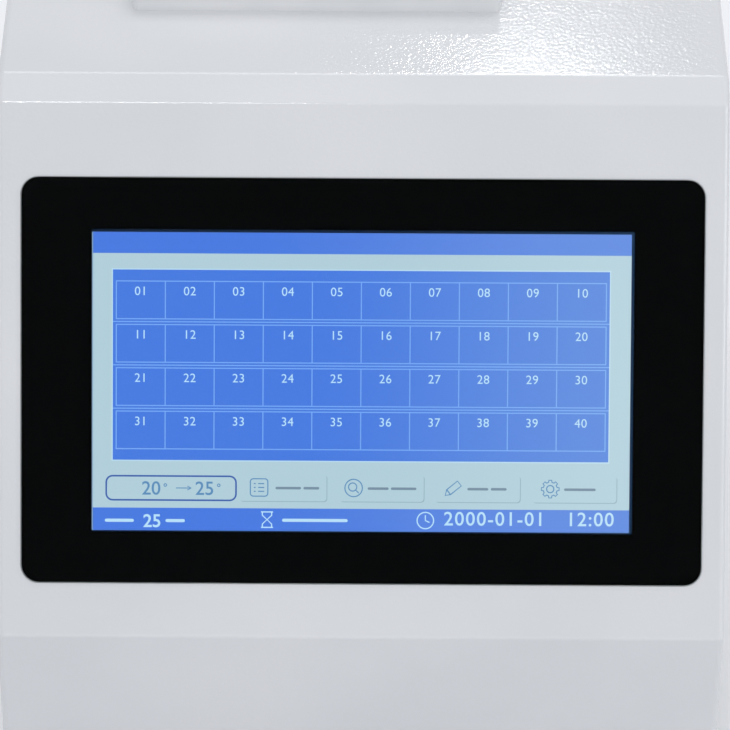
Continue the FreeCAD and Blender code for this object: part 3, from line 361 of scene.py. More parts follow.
@dataclass(frozen=True)
class FloatGlass:
    """Chemically hardened float glass with an anti-reflection coat, so it shows little of the room."""

    name: str
    tint: str = "#f6faf9"
    ior: float = 1.1
    smear_mm: float = 28.0
    smear_stretch: Place = (1.0, 0.5, 1.0)
    haze: Point = (0.0, 0.035)

    def material(self) -> bpy.types.Material:
        """Make the glass's nodes.

        Returns:
            Its node material.
        """
        material, tree, shader = new_material(
            self.name, Base_Color=linear(self.tint), IOR=self.ior, Transmission_Weight=1.0)
        patterned(tree, shader, grain(tree, self.smear_mm, 3.0, self.smear_stretch), self.haze)
        return material


@dataclass(frozen=True)
class Mottled:
    """A surface whose two colours, roughness and relief all follow one fine pattern."""

    name: str
    colour: str
    shade: str
    mark_mm: float
    roughness: Point
    depth_mm: float = 0.0
    specular: float = 0.5

    def material(self) -> bpy.types.Material:
        """Make the surface's nodes.

        Returns:
            Its node material.
        """
        material, tree, shader = new_material(self.name, Specular_IOR_Level=self.specular)
        marks = grain(tree, self.mark_mm, detail=4.0)
        patterned(tree, shader, marks, self.roughness, (self.colour, self.shade),
                  marks if self.depth_mm else None, self.depth_mm)
        return material


@dataclass(frozen=True)
class BorderPrint(Mottled):
    """Black ceramic ink screen-printed on the back of the glass: dead black with pinprick unevenness."""

    colour: str = "#010202"
    shade: str = "#040506"
    mark_mm: float = 1.2
    roughness: Point = (0.5, 0.7)
    specular: float = 0.0


@dataclass(frozen=True)
class GroundEdge(Mottled):
    """The edge of a sheet of glass after grinding: frosted and a middling grey over the black print."""

    colour: str = "#8f9294"
    shade: str = "#a4a7a9"
    mark_mm: float = 0.6
    roughness: Point = (0.25, 0.4)
    depth_mm: float = 0.02


@dataclass(frozen=True)
class ThermalPaper(Mottled):
    """Coated thermal paper: smooth and a warm white, with its fibres only just to be seen."""

    colour: str = "#f1f0ea"
    shade: str = "#e4e3dc"
    mark_mm: float = 0.8
    roughness: Point = (0.45, 0.6)
    depth_mm: float = 0.01


@dataclass(frozen=True)
class Ink(Mottled):
    """Pad-printed ink for plain numbers and marks: flat, and slightly broken."""

    colour: str = "#3c4656"
    shade: str = "#556072"
    mark_mm: float = 0.9
    roughness: Point = (0.5, 0.7)


@dataclass(frozen=True)
class LitPixels:
    """One colour of the lit screen: it glows, and pales towards the right edge as a side-lit panel does."""

    name: str
    colour: str
    shade: str
    level: float = 1.0
    pale_from_mm: float = 0.0
    pale_to_mm: float = 120.0
    unlit: str = "#05070a"
    roughness: float = 0.6
    specular: float = 0.1

    def material(self) -> bpy.types.Material:
        """Make the lit colour's nodes.

        Returns:
            Its node material.
        """
        material, tree, shader = new_material(
            self.name, Emission_Strength=self.level, Base_Color=linear(self.unlit),
            Roughness=self.roughness, Specular_IOR_Level=self.specular)
        where = add(tree, "ShaderNodeTexCoord")
        across = add(tree, "ShaderNodeSeparateXYZ", inputs={0: where.outputs["Object"]})
        colour = blended(tree, across.outputs[0], (self.colour, self.shade),
                         (self.pale_from_mm * MM, self.pale_to_mm * MM))
        tree.links.new(colour, shader.inputs["Emission Color"])
        return material


@dataclass(frozen=True)
class SolderMask:
    """Green solder mask over copper: glossy lacquer, with the tracks showing as slightly paler lines."""

    name: str
    colour: str = "#0d4a2b"
    track: str = "#1b6a3f"
    track_apart_mm: float = 7.0
    track_share: float = 0.03
    track_height_mm: float = 0.03
    roughness: float = 0.3

    def material(self) -> bpy.types.Material:
        """Make the board's nodes.

        Returns:
            Its node material.
        """
        material, tree, shader = new_material(self.name, Roughness=self.roughness)
        where = add(tree, "ShaderNodeTexCoord")
        tracks = add(tree, "ShaderNodeTexBrick", inputs={"Vector": where.outputs["Object"]},
                     Scale=1 / (self.track_apart_mm * MM), Mortar_Size=self.track_share).outputs["Fac"]
        colour = add(tree, "ShaderNodeMix", {"data_type": "RGBA"},
                     {"Factor": tracks, 6: linear(self.colour), 7: linear(self.track)})
        raised = add(tree, "ShaderNodeBump", inputs={"Height": tracks}, Strength=1.0,
                     Distance=self.track_height_mm * MM)
        tree.links.new(colour.outputs[2], shader.inputs["Base Color"])
        tree.links.new(raised.outputs[0], shader.inputs["Normal"])
        return material


CASING_COAT = PowderCoat("orange_peel_powder_coat", "#dcdde0", "#d7d9dc")
PANEL_COAT = PowderCoat("satin_powder_coat", "#d2d4d6", "#cdcfd2", roughness=0.36, lump_mm=1.6,
                        lump_depth_mm=0.04)
CLEAR_GLASS = FloatGlass("hardened_cover_glass")
BLACK_PRINT = BorderPrint("ceramic_border_print")
GLASS_EDGE = GroundEdge("ground_glass_edge")
RACK_PLASTIC = MouldedPlastic("grey_rack_abs", "#e1e2e4", "#dbdddf")
BAR_PLASTIC = MouldedPlastic("white_well_bar_abs", "#e6e7e8", "#dfe0e2", roughness=0.36)
BLACK_PLASTIC = MouldedPlastic("black_fitting_abs", "#16171a", "#1e1f22", roughness=0.4)
PRINTER_PLASTIC = MouldedPlastic("printer_abs", "#c9ccd0", "#c1c4c9")
BUTTON_PLASTIC = MouldedPlastic("blue_button_abs", "#2f6fc4", "#2a64b4", roughness=0.3, grain_depth_mm=0.004)
CHIP_RESIN = MouldedPlastic("black_chip_resin", "#1b1c1e", "#232527", roughness=0.5)
ZINC = WorkedMetal("zinc_plated_steel", "#b9bcbe", "#a8abae", 0.34)
GROUND_STEEL = WorkedMetal("ground_steel", "#c6c9cb", "#b5b8bb", 0.18, Lay.UP)
DARK_STEEL = WorkedMetal("black_lacquered_steel", "#2c2e31", "#383a3d", 0.42)
SCREW_STEEL = WorkedMetal("rolled_thread_steel", "#b8bbbe", "#a9acaf", 0.3, mark_mm=1.6, mark_depth_mm=0.05)
ANODISED = WorkedMetal("clear_anodised_aluminium", "#c3c6ca", "#b7babf", 0.38, Lay.ACROSS)
BRASS = WorkedMetal("turned_brass", "#c9a35a", "#b58f49", 0.26, Lay.ACROSS)
NICKEL = WorkedMetal("nickel_plated_brass", "#c9c6bf", "#bcb9b2", 0.24)
GILT = WorkedMetal("gold_plated_contact", "#d9b25f", "#cda652", 0.2)
FOOT_RUBBER = Rubber("foot_rubber")
ROLLER_RUBBER = Rubber("ground_roller_rubber", "#1c1d1f", "#2a2b2d", 0.62)
PAPER = ThermalPaper("thermal_paper")
BOARD = SolderMask("green_solder_mask")
NUMBER_INK = Ink("number_ink")
MARK_WHITE = Ink("white_mark_ink", "#e8ebee", "#dfe3e8")
GREEN_LENS = LitPixels("green_lens", "#4fd07a", "#46c470", 0.8)

PAGE_LIGHT = LitPixels("page_light", "#b7d2df", "#c0d9e5")
BAR_LIGHT = LitPixels("bar_light", "#4b7ce5", "#6e95e8", pale_from_mm=-60.0)
TABLE_LIGHT = LitPixels("table_light", "#4a7de5", "#6c95e6", pale_from_mm=-30.0)
# A dark navy ring that glows faintly just outside the lit page: painted shade and reflection at the panel's
# edge.
PAINTED_EDGE_SHADE = LitPixels("panel_edge_painted_shade", "#0d1f3a", "#16304f")
GLINT_LIGHT = LitPixels("panel_edge_glint", "#86a4c4", "#86a4c4")
EDGE_LIGHT = LitPixels("table_edge_light", "#bfe0f4", "#cde8f8")
RULE_LIGHT = LitPixels("rule_light", "#7fb0fa", "#90bcfa")
NUMBER_LIGHT = LitPixels("number_light", "#bee4ff", "#c8e9ff")
SHADE_LIGHT = LitPixels("button_shade_light", "#9bb9c6", "#a2bdcb")
BOX_LINE = LitPixels("box_line_light", "#4264b0", "#4668b4")
FIGURE_INK = LitPixels("figure_light", "#5f90bf", "#6696c2")
LABEL_INK = LitPixels("label_light", "#7c92a6", "#8398aa")

NODE_FINISHES: dict[Finish, str] = {
    PANEL_COAT: "base_plate rear_panel",
    FOOT_RUBBER: "rubber_feet",
    ZINC: "base_screws rear_screws foot_screws display_bracket power_supply",
    GROUND_STEEL: "guide_rod_left guide_rod_right screw_bearing door_pin home_flag",
    SCREW_STEEL: "lead_screw",
    DARK_STEEL: "stepper_motor",
    ANODISED: "tube_rest_plate frame_posts top_block carriage_plate",
    BRASS: "guide_bushes lead_nut display_standoffs board_standoffs",
    BOARD: "display_board main_board emitter_boards detector_boards",
    RACK_PLASTIC: "rack_surround",
    BAR_PLASTIC: "well_bar_1 well_bar_2 well_bar_3 well_bar_4",
    BLACK_PLASTIC: "lcd_module home_sensor inlet_socket switch_frame power_rocker fan_frame fan_rotor "
                   "network_port usb_port serial_port room_sensor print_head",
    PRINTER_PLASTIC: "printer_housing printer_door",
    ROLLER_RUBBER: "platen_roller",
    PAPER: "paper_roll",
    BUTTON_PLASTIC: "feed_button",
}


class Finishes:
    """Makes each finish's material once and hands it out."""

    def __init__(self) -> None:
        """Start with no material made."""
        self._made: dict[str, bpy.types.Material] = {}

    def get(self, finish: Finish) -> bpy.types.Material:
        """The material of a finish, made on first use.

        Args:
            finish: the finish.

        Returns:
            Its material.
        """
        if finish.name not in self._made:
            self._made[finish.name] = finish.material()
        return self._made[finish.name]

    def dress(self, node: bpy.types.Object, finish: Finish) -> None:
        """Give a whole piece one finish."""
        node.data.materials.clear()
        node.data.materials.append(self.get(finish))


def settle(piece: bpy.types.Object, body: str, stands_for: str = "") -> None:
    """Let a dressed piece ride on its body, hide the frame's node that it stands for, and report it.

    Args:
        piece: the finished piece.
        body: the moving body that carries it.
        stands_for: the frame's node that it replaces, if any.
    """
    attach(piece, body)
    if stands_for:
        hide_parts(stands_for)
    LOG.info("%s: %d faces", piece.name, len(piece.data.polygons))


def make_object(name: str, shape: bmesh.types.BMesh) -> bpy.types.Object:
    """Turn a finished mesh into an object of the scene.

    Args:
        name: the piece's name.
        shape: its mesh, in the row frame and in metres; it is freed.

    Returns:
        The new object, at the origin.
    """
    mesh = bpy.data.meshes.new(name)
    shape.to_mesh(mesh)
    shape.free()
    piece = bpy.data.objects.new(name, mesh)
    bpy.context.scene.collection.objects.link(piece)
    return piece


def plain_mesh(piece: bpy.types.Object) -> bpy.types.Object:
    """Make a piece's modifiers part of its mesh and take them off.

    Args:
        piece: an object with modifiers.

    Returns:
        The same object.
    """
    bpy.context.view_layer.update()
    finished = bpy.data.meshes.new_from_object(piece.evaluated_get(bpy.context.evaluated_depsgraph_get()))
    piece.modifiers.clear()
    old = piece.data
    piece.data = finished
    finished.name = piece.name
    bpy.data.meshes.remove(old)
    return piece


def smooth(piece: bpy.types.Object, limit: float = SMOOTH_LIMIT) -> bpy.types.Object:
    """Shade a piece smoothly except at edges sharper than a limit.

    Args:
        piece: the object to shade.
        limit: the largest turn, in radians, that still looks smooth.

    Returns:
        The same object.
    """
    piece.data.shade_smooth()
    piece.data.set_sharp_from_angle(angle=limit)
    weigh = piece.modifiers.new("Weigh", "WEIGHTED_NORMAL")
    weigh.keep_sharp = True
    weigh.weight = FACE_WEIGHT
    return plain_mesh(piece)


def rounded_rectangle(width: float, height: float, radius: float, steps: int = 8) -> Outline:
    """A rectangle with round corners, centred on the origin.

    Args:
        width: its full width.
        height: its full height.
        radius: its corner radius.
        steps: straight pieces to each quarter circle.

    Returns:
        Its outline, anticlockwise.
    """
    points: Outline = []
    for turn, (x, y) in enumerate(((1, -1), (1, 1), (-1, 1), (-1, -1))):
        for step in range(steps + 1):
            angle = math.radians(90 * turn - 90 + 90 * step / steps)
            points.append((x * (width / 2 - radius) + radius * math.cos(angle),
                           y * (height / 2 - radius) + radius * math.sin(angle)))
    return points


def circle(radius: float, steps: int = 32, centre: Point = (0.0, 0.0)) -> Outline:
    """The outline of a circle, anticlockwise."""
    angles = [math.tau * step / steps for step in range(steps)]
    return [(centre[0] + radius * math.cos(a), centre[1] + radius * math.sin(a)) for a in angles]


def loft(shape: bmesh.types.BMesh, loops: Sequence[tuple[Outline, float]], place: Matrix,
         ring: bool = False) -> None:
    """Join outlines, each in metres and with its height, into a closed body or a ring around a hole."""
    join_rows(shape, [[shape.verts.new(place @ Vector((x, y, level))) for x, y in points]
                      for points, level in loops], ring)


def join_rows(shape: bmesh.types.BMesh, rows: Sequence[Sequence[bmesh.types.BMVert]],
              ring: bool = False) -> None:
    """Join rows of as many points into one closed body.

    Args:
        shape: the mesh that gets it.
        rows: the points, each row a closed loop.
        ring: whether the last row closes on the first, which leaves a hole through the middle.
    """
    count = len(rows[0])
    pairs = list(zip(rows, rows[1:]))
    if ring:
        pairs.append((rows[-1], rows[0]))
    faces = []
    for low, high in pairs:
        for index in range(count):
            after = (index + 1) % count
            faces.append(shape.faces.new((low[index], low[after], high[after], high[index])))
    if not ring:
        faces.append(shape.faces.new(list(reversed(rows[0]))))
        faces.append(shape.faces.new(rows[-1]))
    bmesh.ops.recalc_face_normals(shape, faces=faces)


def plate(shape: bmesh.types.BMesh, outline: Outline, gauge: float, place: Matrix) -> None:
    """Add a flat plate, in metres, that rises from its place by its gauge."""
    loft(shape, [(outline, 0.0), (outline, gauge)], place)


def frame_ring(shape: bmesh.types.BMesh, outer: Outline, inner: Outline, gauge: float, place: Matrix) -> None:
    """Add a flat ring, in metres, between two outlines of as many points."""
    loft(shape, [(outer, 0.0), (outer, gauge), (inner, gauge), (inner, 0.0)], place, ring=True)


def scaled(points: Iterable[Point], across: float = 0.0, up: float = 0.0) -> Outline:
    """Points in millimetres, moved and turned into metres."""
    return [((x + across) * MM, (y + up) * MM) for x, y in points]


def moved(points: Iterable[Point], across: float, up: float) -> Outline:
    """Points moved to a place, in the same unit."""
    return [(x + across, y + up) for x, y in points]


def traced(strokes: Iterable[Stroke], width_mm: float, place: Matrix) -> bpy.types.Mesh:
    """Draw line art as round strokes.

    Args:
        strokes: each stroke's points in millimetres, and whether it closes on itself.
        width_mm: the strokes' width.
        place: where its own axes lie in the row frame.

    Returns:
        A mesh of all strokes.
    """
    curve = bpy.data.curves.new("strokes", "CURVE")
    curve.dimensions = "3D"
    curve.bevel_depth = width_mm * MM / 2
    curve.bevel_resolution = 1
    curve.use_fill_caps = True
    for points, closed in strokes:
        spline = curve.splines.new("POLY")
        spline.points.add(len(points) - 1)
        for point, (x, y) in zip(spline.points, points):
            point.co = (x * MM, y * MM, 0, 1)
        spline.use_cyclic_u = closed
    return mesh_of_curve(curve, place)


def mesh_of_curve(curve: bpy.types.Curve, place: Matrix) -> bpy.types.Mesh:
    """Turn a curve or text into a mesh at its place, and drop the curve.

    Args:
        curve: the curve or text.
        place: where its own axes lie in the row frame.

    Returns:
        The mesh.
    """
    holder = bpy.data.objects.new("holder", curve)
    bpy.context.scene.collection.objects.link(holder)
    bpy.context.view_layer.update()
    mesh = bpy.data.meshes.new_from_object(holder.evaluated_get(bpy.context.evaluated_depsgraph_get()))
    mesh.transform(place)
    bpy.data.objects.remove(holder)
    bpy.data.curves.remove(curve)
    return mesh


class Spread(Enum):
    """Where a line of numerals lies beside its point."""

    LEFT = "LEFT"
    CENTRE = "CENTER"


def numerals(words: Iterable[Word], height_mm: float, place: Matrix,
             spread: Spread = Spread.CENTRE, pace: float = 1.0, bolder_mm: float = 0.0) -> bpy.types.Mesh:
    """Set plain numerals as thin solid figures.

    Args:
        words: each line's figures with its place across and up, in millimetres.
        height_mm: the figures' height.
        place: where their plane lies in the row frame.
        spread: which part of a line stands on its place.
        pace: the figures' spacing.
        bolder_mm: how far each stroke's outline is pushed out.

    Returns:
        A mesh of all figures.
    """
    shape = bmesh.new()
    for body, across, up in words:
        curve = bpy.data.curves.new("figures", "FONT")
        curve.body = body
        curve.size = height_mm * MM / FIGURE_SHARE
        curve.extrude = FIGURE_GAUGE_MM * MM / 2
        curve.resolution_u = 4
        curve.space_character = pace
        curve.offset = bolder_mm * MM
        curve.align_x = spread.value
        curve.align_y = "CENTER"
        mesh = mesh_of_curve(curve, Matrix.Translation((across * MM, up * MM, 0)))
        shape.from_mesh(mesh)
        bpy.data.meshes.remove(mesh)
    bmesh.ops.remove_doubles(shape, verts=shape.verts, dist=WELD_DISTANCE)
    mesh = bpy.data.meshes.new("figures")
    shape.to_mesh(mesh)
    shape.free()
    mesh.transform(place)
    return mesh


def from_meshes(name: str, meshes: Iterable[bpy.types.Mesh]) -> bpy.types.Object:
    """Join finished meshes into one object of the scene.

    Args:
        name: the piece's name.
        meshes: the meshes, which are used up.

    Returns:
        The new object, at the origin.
    """
    shape = bmesh.new()
    for mesh in meshes:
        shape.from_mesh(mesh)
        bpy.data.meshes.remove(mesh)
    return make_object(name, shape)


def settle_meshes(finishes: Finishes, name: str, meshes: Iterable[bpy.types.Mesh], finish: Finish, body: str,
                  soft: bool = False) -> None:
    """Join meshes into one piece, dress it and let it ride on its body.

    Args:
        finishes: where the material comes from.
        name: the piece's name.
        meshes: the meshes, which are used up.
        finish: its finish.
        body: the moving body that carries it.
        soft: whether its gentle edges are shaded smoothly.
    """
    piece = from_meshes(name, meshes)
    if soft:
        smooth(piece)
    finishes.dress(piece, finish)
    settle(piece, body)


class Unit(Enum):
    """The shape that a repeat is made of."""

    BOX = "GeometryNodeMeshCube"
    STUD = "GeometryNodeMeshCylinder"


@dataclass(frozen=True)
class Repeat:
    """A grid of like blocks or studs, made with Geometry Nodes. Sizes are millimetres.

    The tree lays out a grid of points, sets the unit on each, makes them real and gives them their finish.
    """

    size: Place
    columns: int = 1
    rows: int = 1
    across: float = 0.0
    up: float = 0.0
    unit: Unit = Unit.BOX
    stud_sides: int = 16

    def tree(self, material: bpy.types.Material) -> bpy.types.NodeTree:
        """The node tree with its named inputs.

        Args:
            material: the finish of every copy.

        Returns:
            The tree.
        """
        tree = bpy.data.node_groups.new("repeat", "GeometryNodeTree")
        face = tree.interface
        for name, kind in (("Columns", "Int"), ("Rows", "Int"), ("Spread Across", "Float"),
                           ("Spread Up", "Float"), ("Size", "Vector")):
            face.new_socket(name, in_out="INPUT", socket_type=f"NodeSocket{kind}")
        face.new_socket("Geometry", in_out="OUTPUT", socket_type="NodeSocketGeometry")
        given = tree.nodes.new("NodeGroupInput").outputs
        grid = add(tree, "GeometryNodeMeshGrid", inputs={
            "Size X": given["Spread Across"], "Size Y": given["Spread Up"],
            "Vertices X": given["Columns"], "Vertices Y": given["Rows"]})
        if self.unit is Unit.BOX:
            unit = add(tree, self.unit.value, inputs={"Size": given["Size"]})
        else:
            sides = add(tree, "ShaderNodeSeparateXYZ", inputs={0: given["Size"]}).outputs
            unit = add(tree, self.unit.value, inputs={"Radius": sides[0], "Depth": sides[2]},
                       Vertices=self.stud_sides)
        copies = add(tree, "GeometryNodeInstanceOnPoints",
                     inputs={"Points": grid.outputs["Mesh"], "Instance": unit.outputs["Mesh"]})
        real = add(tree, "GeometryNodeRealizeInstances", inputs={"Geometry": copies.outputs[0]})
        done = add(tree, "GeometryNodeSetMaterial", inputs={"Geometry": real.outputs[0]}, Material=material)
        add(tree, "NodeGroupOutput", inputs={"Geometry": done.outputs[0]})
        return tree

    def mesh(self, material: bpy.types.Material, place: Matrix) -> bpy.types.Mesh:
        """The repeat as one plain mesh at its place.

        Args:
            material: the finish of every copy.
            place: where the grid's middle lies.

        Returns:
            The mesh.
        """
        holder = make_object("repeat", bmesh.new())
        modifier = holder.modifiers.new("Repeat", "NODES")
        modifier.node_group = self.tree(material)
        names = {item.name: item.identifier for item in modifier.node_group.interface.items_tree}
        values = {"Columns": self.columns, "Rows": self.rows,
                  "Spread Across": (self.columns - 1) * self.across * MM,
                  "Spread Up": (self.rows - 1) * self.up * MM, "Size": [side * MM for side in self.size]}
        for name, value in values.items():
            modifier[names[name]] = value
        plain_mesh(holder)
        mesh = holder.data
        mesh.transform(place)
        bpy.data.objects.remove(holder)
        return mesh


@dataclass(frozen=True)
class FacePlane:
    """The leaning display face: across to the right, up the slope, out towards the user."""

    front_y: float
    fold_z: float
    lean: float

    def matrix(self, across: float = 0.0, up: float = 0.0, out: float = 0.0) -> Matrix:
        """Where a point of the face and its axes lie in the row frame.

        Args:
            across: metres right of the middle.
            up: metres up the slope from the lower fold.
            out: metres out of the steel's surface.

        Returns:
            The place as a matrix.
        """
        run, rise = math.sin(self.lean), math.cos(self.lean)
        origin = Vector((across, self.front_y + up * run - out * rise, self.fold_z + up * rise + out * run))
        axes = Matrix(((1, 0, 0), (0, run, -rise), (0, rise, run)))
        return Matrix.Translation(origin) @ axes.to_4x4()


@dataclass(frozen=True)
class Pane:
    """The cover glass's outline on the display face. Sizes are millimetres."""

    width: float = 280.4
    height: float = 167.4
    corner: float = 7.5
    across: float = 0.2
    up: float = 105.95

    def outline(self, grow: float = 0.0) -> Outline:
        """The outline in metres, pushed out by a number of millimetres."""
        points = rounded_rectangle(self.width + 2 * grow, self.height + 2 * grow, self.corner + grow)
        return scaled(points, self.across)


@dataclass
class Casing:
    """The folded casing. Sizes are millimetres and degrees."""

    finishes: Finishes
    pane: Pane
    pane_gap: float = 0.12
    lower_front: float = 60.0
    face_length: float = 220.0
    face_lean: float = 34.0
    chamfer_length: float = 13.6
    chamfer_slope: float = 28.0
    gauge: float = 1.5
    fold_radius: float = 3.2
    edge_radius: float = 3.0
    flange: float = 12.0
    rack_margins: Place = (0.0, -0.3, -0.3)
    tray_margins: Place = (3.3, 17.0, 11.5)
    folded_corners: range = range(1, 5)
    fold_steps: int = 7
    edge_steps: int = 6
    low: Vector = field(init=False)
    high: Vector = field(init=False)

    def __post_init__(self) -> None:
        """Read the casing's box from the frame."""
        self.low, self.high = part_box("housing_shell")

    def face(self) -> FacePlane:
        """The display face that other pieces are set on."""
        return FacePlane(self.low.y, self.low.z + self.lower_front * MM, math.radians(self.face_lean))

    def corners(self) -> Outline:
        """The side profile's sharp corners, from the lower front up and round to the back.

        Returns:
            The corners in metres.
        """
        lean, slope = math.radians(self.face_lean), math.radians(self.chamfer_slope)
        y, z = self.low.y, self.low.z
        points = [(y, z), (y, z + self.lower_front * MM)]
        for length, run, rise in ((self.face_length, math.sin(lean), math.cos(lean)),
                                  (self.chamfer_length, math.cos(slope), math.sin(slope))):
            points.append((points[-1][0] + length * MM * run, points[-1][1] + length * MM * rise))
        points += [(self.high.y, self.high.z), (self.high.y, z)]
        return points

    def loop(self, insets: Sequence[float]) -> Outline:
        """The profile with rounded folds, each side drawn in by its own amount.

        Args:
            insets: metres that each side moves inwards, beginning with the lower front.

        Returns:
            As many points whatever the insets.
        """
        corners = self.corners()
        count = len(corners)
        normals = []
        for index, (y, z) in enumerate(corners):
            after = corners[(index + 1) % count]
            along = Vector((after[0] - y, after[1] - z)).normalized()
            normals.append(Vector((along.y, -along.x)))
        points: Outline = []
        for index, corner in enumerate(corners):
            before, here = normals[index - 1], normals[index]
            folded = index in self.folded_corners
            radius = self.fold_radius * MM if folded else 0.0
            centre = self._meet(corner, before, here, radius, radius)
            if not folded:
                place = self._meet(corner, before, here, insets[index - 1], insets[index])
                points.append((place.x, place.y))
                continue
            start, turn = math.atan2(before.y, before.x), before.angle_signed(here)
            for step in range(self.fold_steps + 1):
                share = step / self.fold_steps
                angle = start - turn * share
                reach = radius - insets[index - 1] * (1 - share) - insets[index] * share
                points.append((centre.x - reach * math.cos(angle), centre.y - reach * math.sin(angle)))
        return points

    @staticmethod
    def _meet(corner: Point, before: Vector, here: Vector, first: float, second: float) -> Vector:
        """Where two sides meet after each has moved inwards along its normal.

        Args:
            corner: where they met before.
            before: the normal of the side that ends there.
            here: the normal of the side that begins there.
            first: metres that the side before moves.
            second: metres that the side here moves.

        Returns:
            The new corner.
        """
        cross = before.x * here.y - before.y * here.x
        a = before.dot(Vector(corner)) + first
        b = here.dot(Vector(corner)) + second
        return Vector(((a * here.y - b * before.y) / cross, (before.x * b - here.x * a) / cross))

    def skin(self, inset_mm: float) -> bmesh.types.BMesh:
        """One closed skin of the casing: the outside, or the inside of the sheet.

        Args:
            inset_mm: how far inside the outer surface it lies.

        Returns:
            The skin's mesh.
        """
        shape = bmesh.new()
        inset = inset_mm * MM
        radius = self.edge_radius * MM - inset
        half = self.high.x - inset
        rows = []
        for side in (-1, 1):
            turns = range(self.edge_steps + 1)
            for step in (reversed(turns) if side < 0 else turns):
                angle = math.radians(90 * step / self.edge_steps)
                drawn = inset + radius * (1 - math.cos(angle))
                x = side * (half - radius + radius * math.sin(angle))
                points = self.loop((drawn, drawn, drawn, drawn, inset, inset))
                rows.append([shape.verts.new((x, y, z)) for y, z in points])
        join_rows(shape, rows)
        return shape

    def cutters(self) -> bmesh.types.BMesh:
        """Everything that is cut out of the sheet.

        Returns:
            One mesh of separate blocks.
        """
        shape = bmesh.new()
        gauge = self.gauge * MM
        plate(shape, self.pane.outline(self.pane_gap), 3 * gauge,
              self.face().matrix(up=self.pane.up * MM, out=-2 * gauge))
        flange = self.flange * MM
        blocks = [
            ((self.low.x + flange, self.low.y + flange, self.low.z - gauge),
             (self.high.x - flange, self.high.y - flange, self.low.z + 2 * gauge)),
            ((self.low.x + flange, self.high.y - 2 * gauge, self.low.z + flange),
             (self.high.x - flange, self.high.y + gauge, self.high.z - flange)),
        ]
        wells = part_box("well_bar_1")[0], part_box("well_bar_4")[1]
        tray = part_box("printer_housing")
        for (low, high), (side, front, back) in ((wells, self.rack_margins), (tray, self.tray_margins)):
            blocks.append(((low.x + side * MM, low.y + front * MM, self.high.z - 2 * gauge),
                           (high.x - side * MM, high.y - back * MM, self.high.z + gauge)))
        for low, high in blocks:
            middle = [(a + b) / 2 for a, b in zip(low, high)]
            size = [b - a for a, b in zip(low, high)]
            place = Matrix.Translation(middle) @ Matrix.Diagonal((*size, 1))
            bmesh.ops.create_cube(shape, size=1.0, matrix=place)
        return shape

    def build(self) -> None:
        """Make the casing's folded shell, with its openings cut, and dress it."""
        shell = make_object("casing_shell", self.skin(0.0))
        tools = [make_object("cut_inside", self.skin(self.gauge)),
                 make_object("cut_openings", self.cutters())]
        for tool in tools:
            take = shell.modifiers.new("Take", "BOOLEAN")
            take.operation = "DIFFERENCE"
            take.solver = "EXACT"
            take.object = tool
        plain_mesh(shell)
        for tool in tools:
            bpy.data.objects.remove(tool)
        smooth(shell)
        self.finishes.dress(shell, CASING_COAT)
        settle(shell, "root", "housing_shell")


@dataclass
class CoverGlass:
    """The pane over the screen and the black border printed on its back. Sizes are millimetres."""

    finishes: Finishes
    face: FacePlane
    shape: Pane
    gauge: float = 1.9
    proud: float = 0.5
    chamfer: float = 0.25
    window: Point = (222.3, 124.5)
    window_corner: float = 0.6
    window_shift: Point = (0.3, -0.18)
    print_gauge: float = 0.05
    print_gap: float = 0.03

    def pane(self) -> bpy.types.Object:
        """The clear pane, with its ground edge and chamfer in a finish of their own.

        Returns:
            The pane, at the origin.
        """
        shape = bmesh.new()
        full, drawn = self.shape.outline(), self.shape.outline(-self.chamfer)
        place = self.face.matrix(up=self.shape.up * MM, out=(self.proud - self.gauge) * MM)
        loft(shape, [(full, 0.0), (full, (self.gauge - self.chamfer) * MM), (drawn, self.gauge * MM)], place)
        out = place.to_3x3() @ Vector((0, 0, 1))
        for face in shape.faces:
            face.material_index = 0 if abs(face.normal.dot(out)) > FLAT else 1
        pane = make_object("glass_pane", shape)
        pane.data.materials.append(self.finishes.get(CLEAR_GLASS))
        pane.data.materials.append(self.finishes.get(GLASS_EDGE))
        return pane

    def border(self) -> bpy.types.Object:
        """The printed border, whose window leaves the lit area clear.

        Returns:
            The border, at the origin.
        """
        shape = bmesh.new()
        outer = self.shape.outline(-self.chamfer)
        inner = scaled(rounded_rectangle(*self.window, self.window_corner), *self.window_shift)
        out = self.proud - self.gauge - self.print_gap - self.print_gauge
        frame_ring(shape, outer, inner, self.print_gauge * MM,
                   self.face.matrix(up=self.shape.up * MM, out=out * MM))
        border = make_object("glass_border", shape)
        self.finishes.dress(border, BLACK_PRINT)
        return border

    def build(self) -> None:
        """Make both and put them in the cover glass's place."""
        for piece in (self.pane(), self.border()):
            settle(piece, "root", "cover_glass")


class Layer(Enum):
    """How many thin layers above the page a part of the screen's picture lies."""

    PAGE = 0.0
    LOWER = 1.0
    LINES = 1.5
    FACES = 1.6
    UPPER = 2.0
    MARKS = 2.2
    ICONS = 2.5
    LABELS = 2.8
    GLINT = 3.0
    RULES = 3.5
    NUMBERS = 4.0
    # the ring of painted edge shade round the page lies highest
    GLOW = 19.0


PAGE_SPOT = (-42.0, -43.7)
PAGE_LINES = ((-44.2, -43.4), (-42.4, -39.9))


def page_icon(side: float = 7.2, corner: float = 1.2, line_gap: float = 1.6) -> list[Stroke]:
    """A page with three lines and a mark before each.

    Args:
        side: the page's side in millimetres.
        corner: its corner radius.
        line_gap: how far its lines stand apart.

    Returns:
        Its strokes in millimetres on the panel.
    """
    across, up = PAGE_SPOT
    strokes = [(moved(rounded_rectangle(side, side, corner, steps=4), across, up), True)]
    for level in (up - line_gap, up, up + line_gap):
        strokes += [(((start, level), (end, level)), False) for start, end in PAGE_LINES]
    return strokes


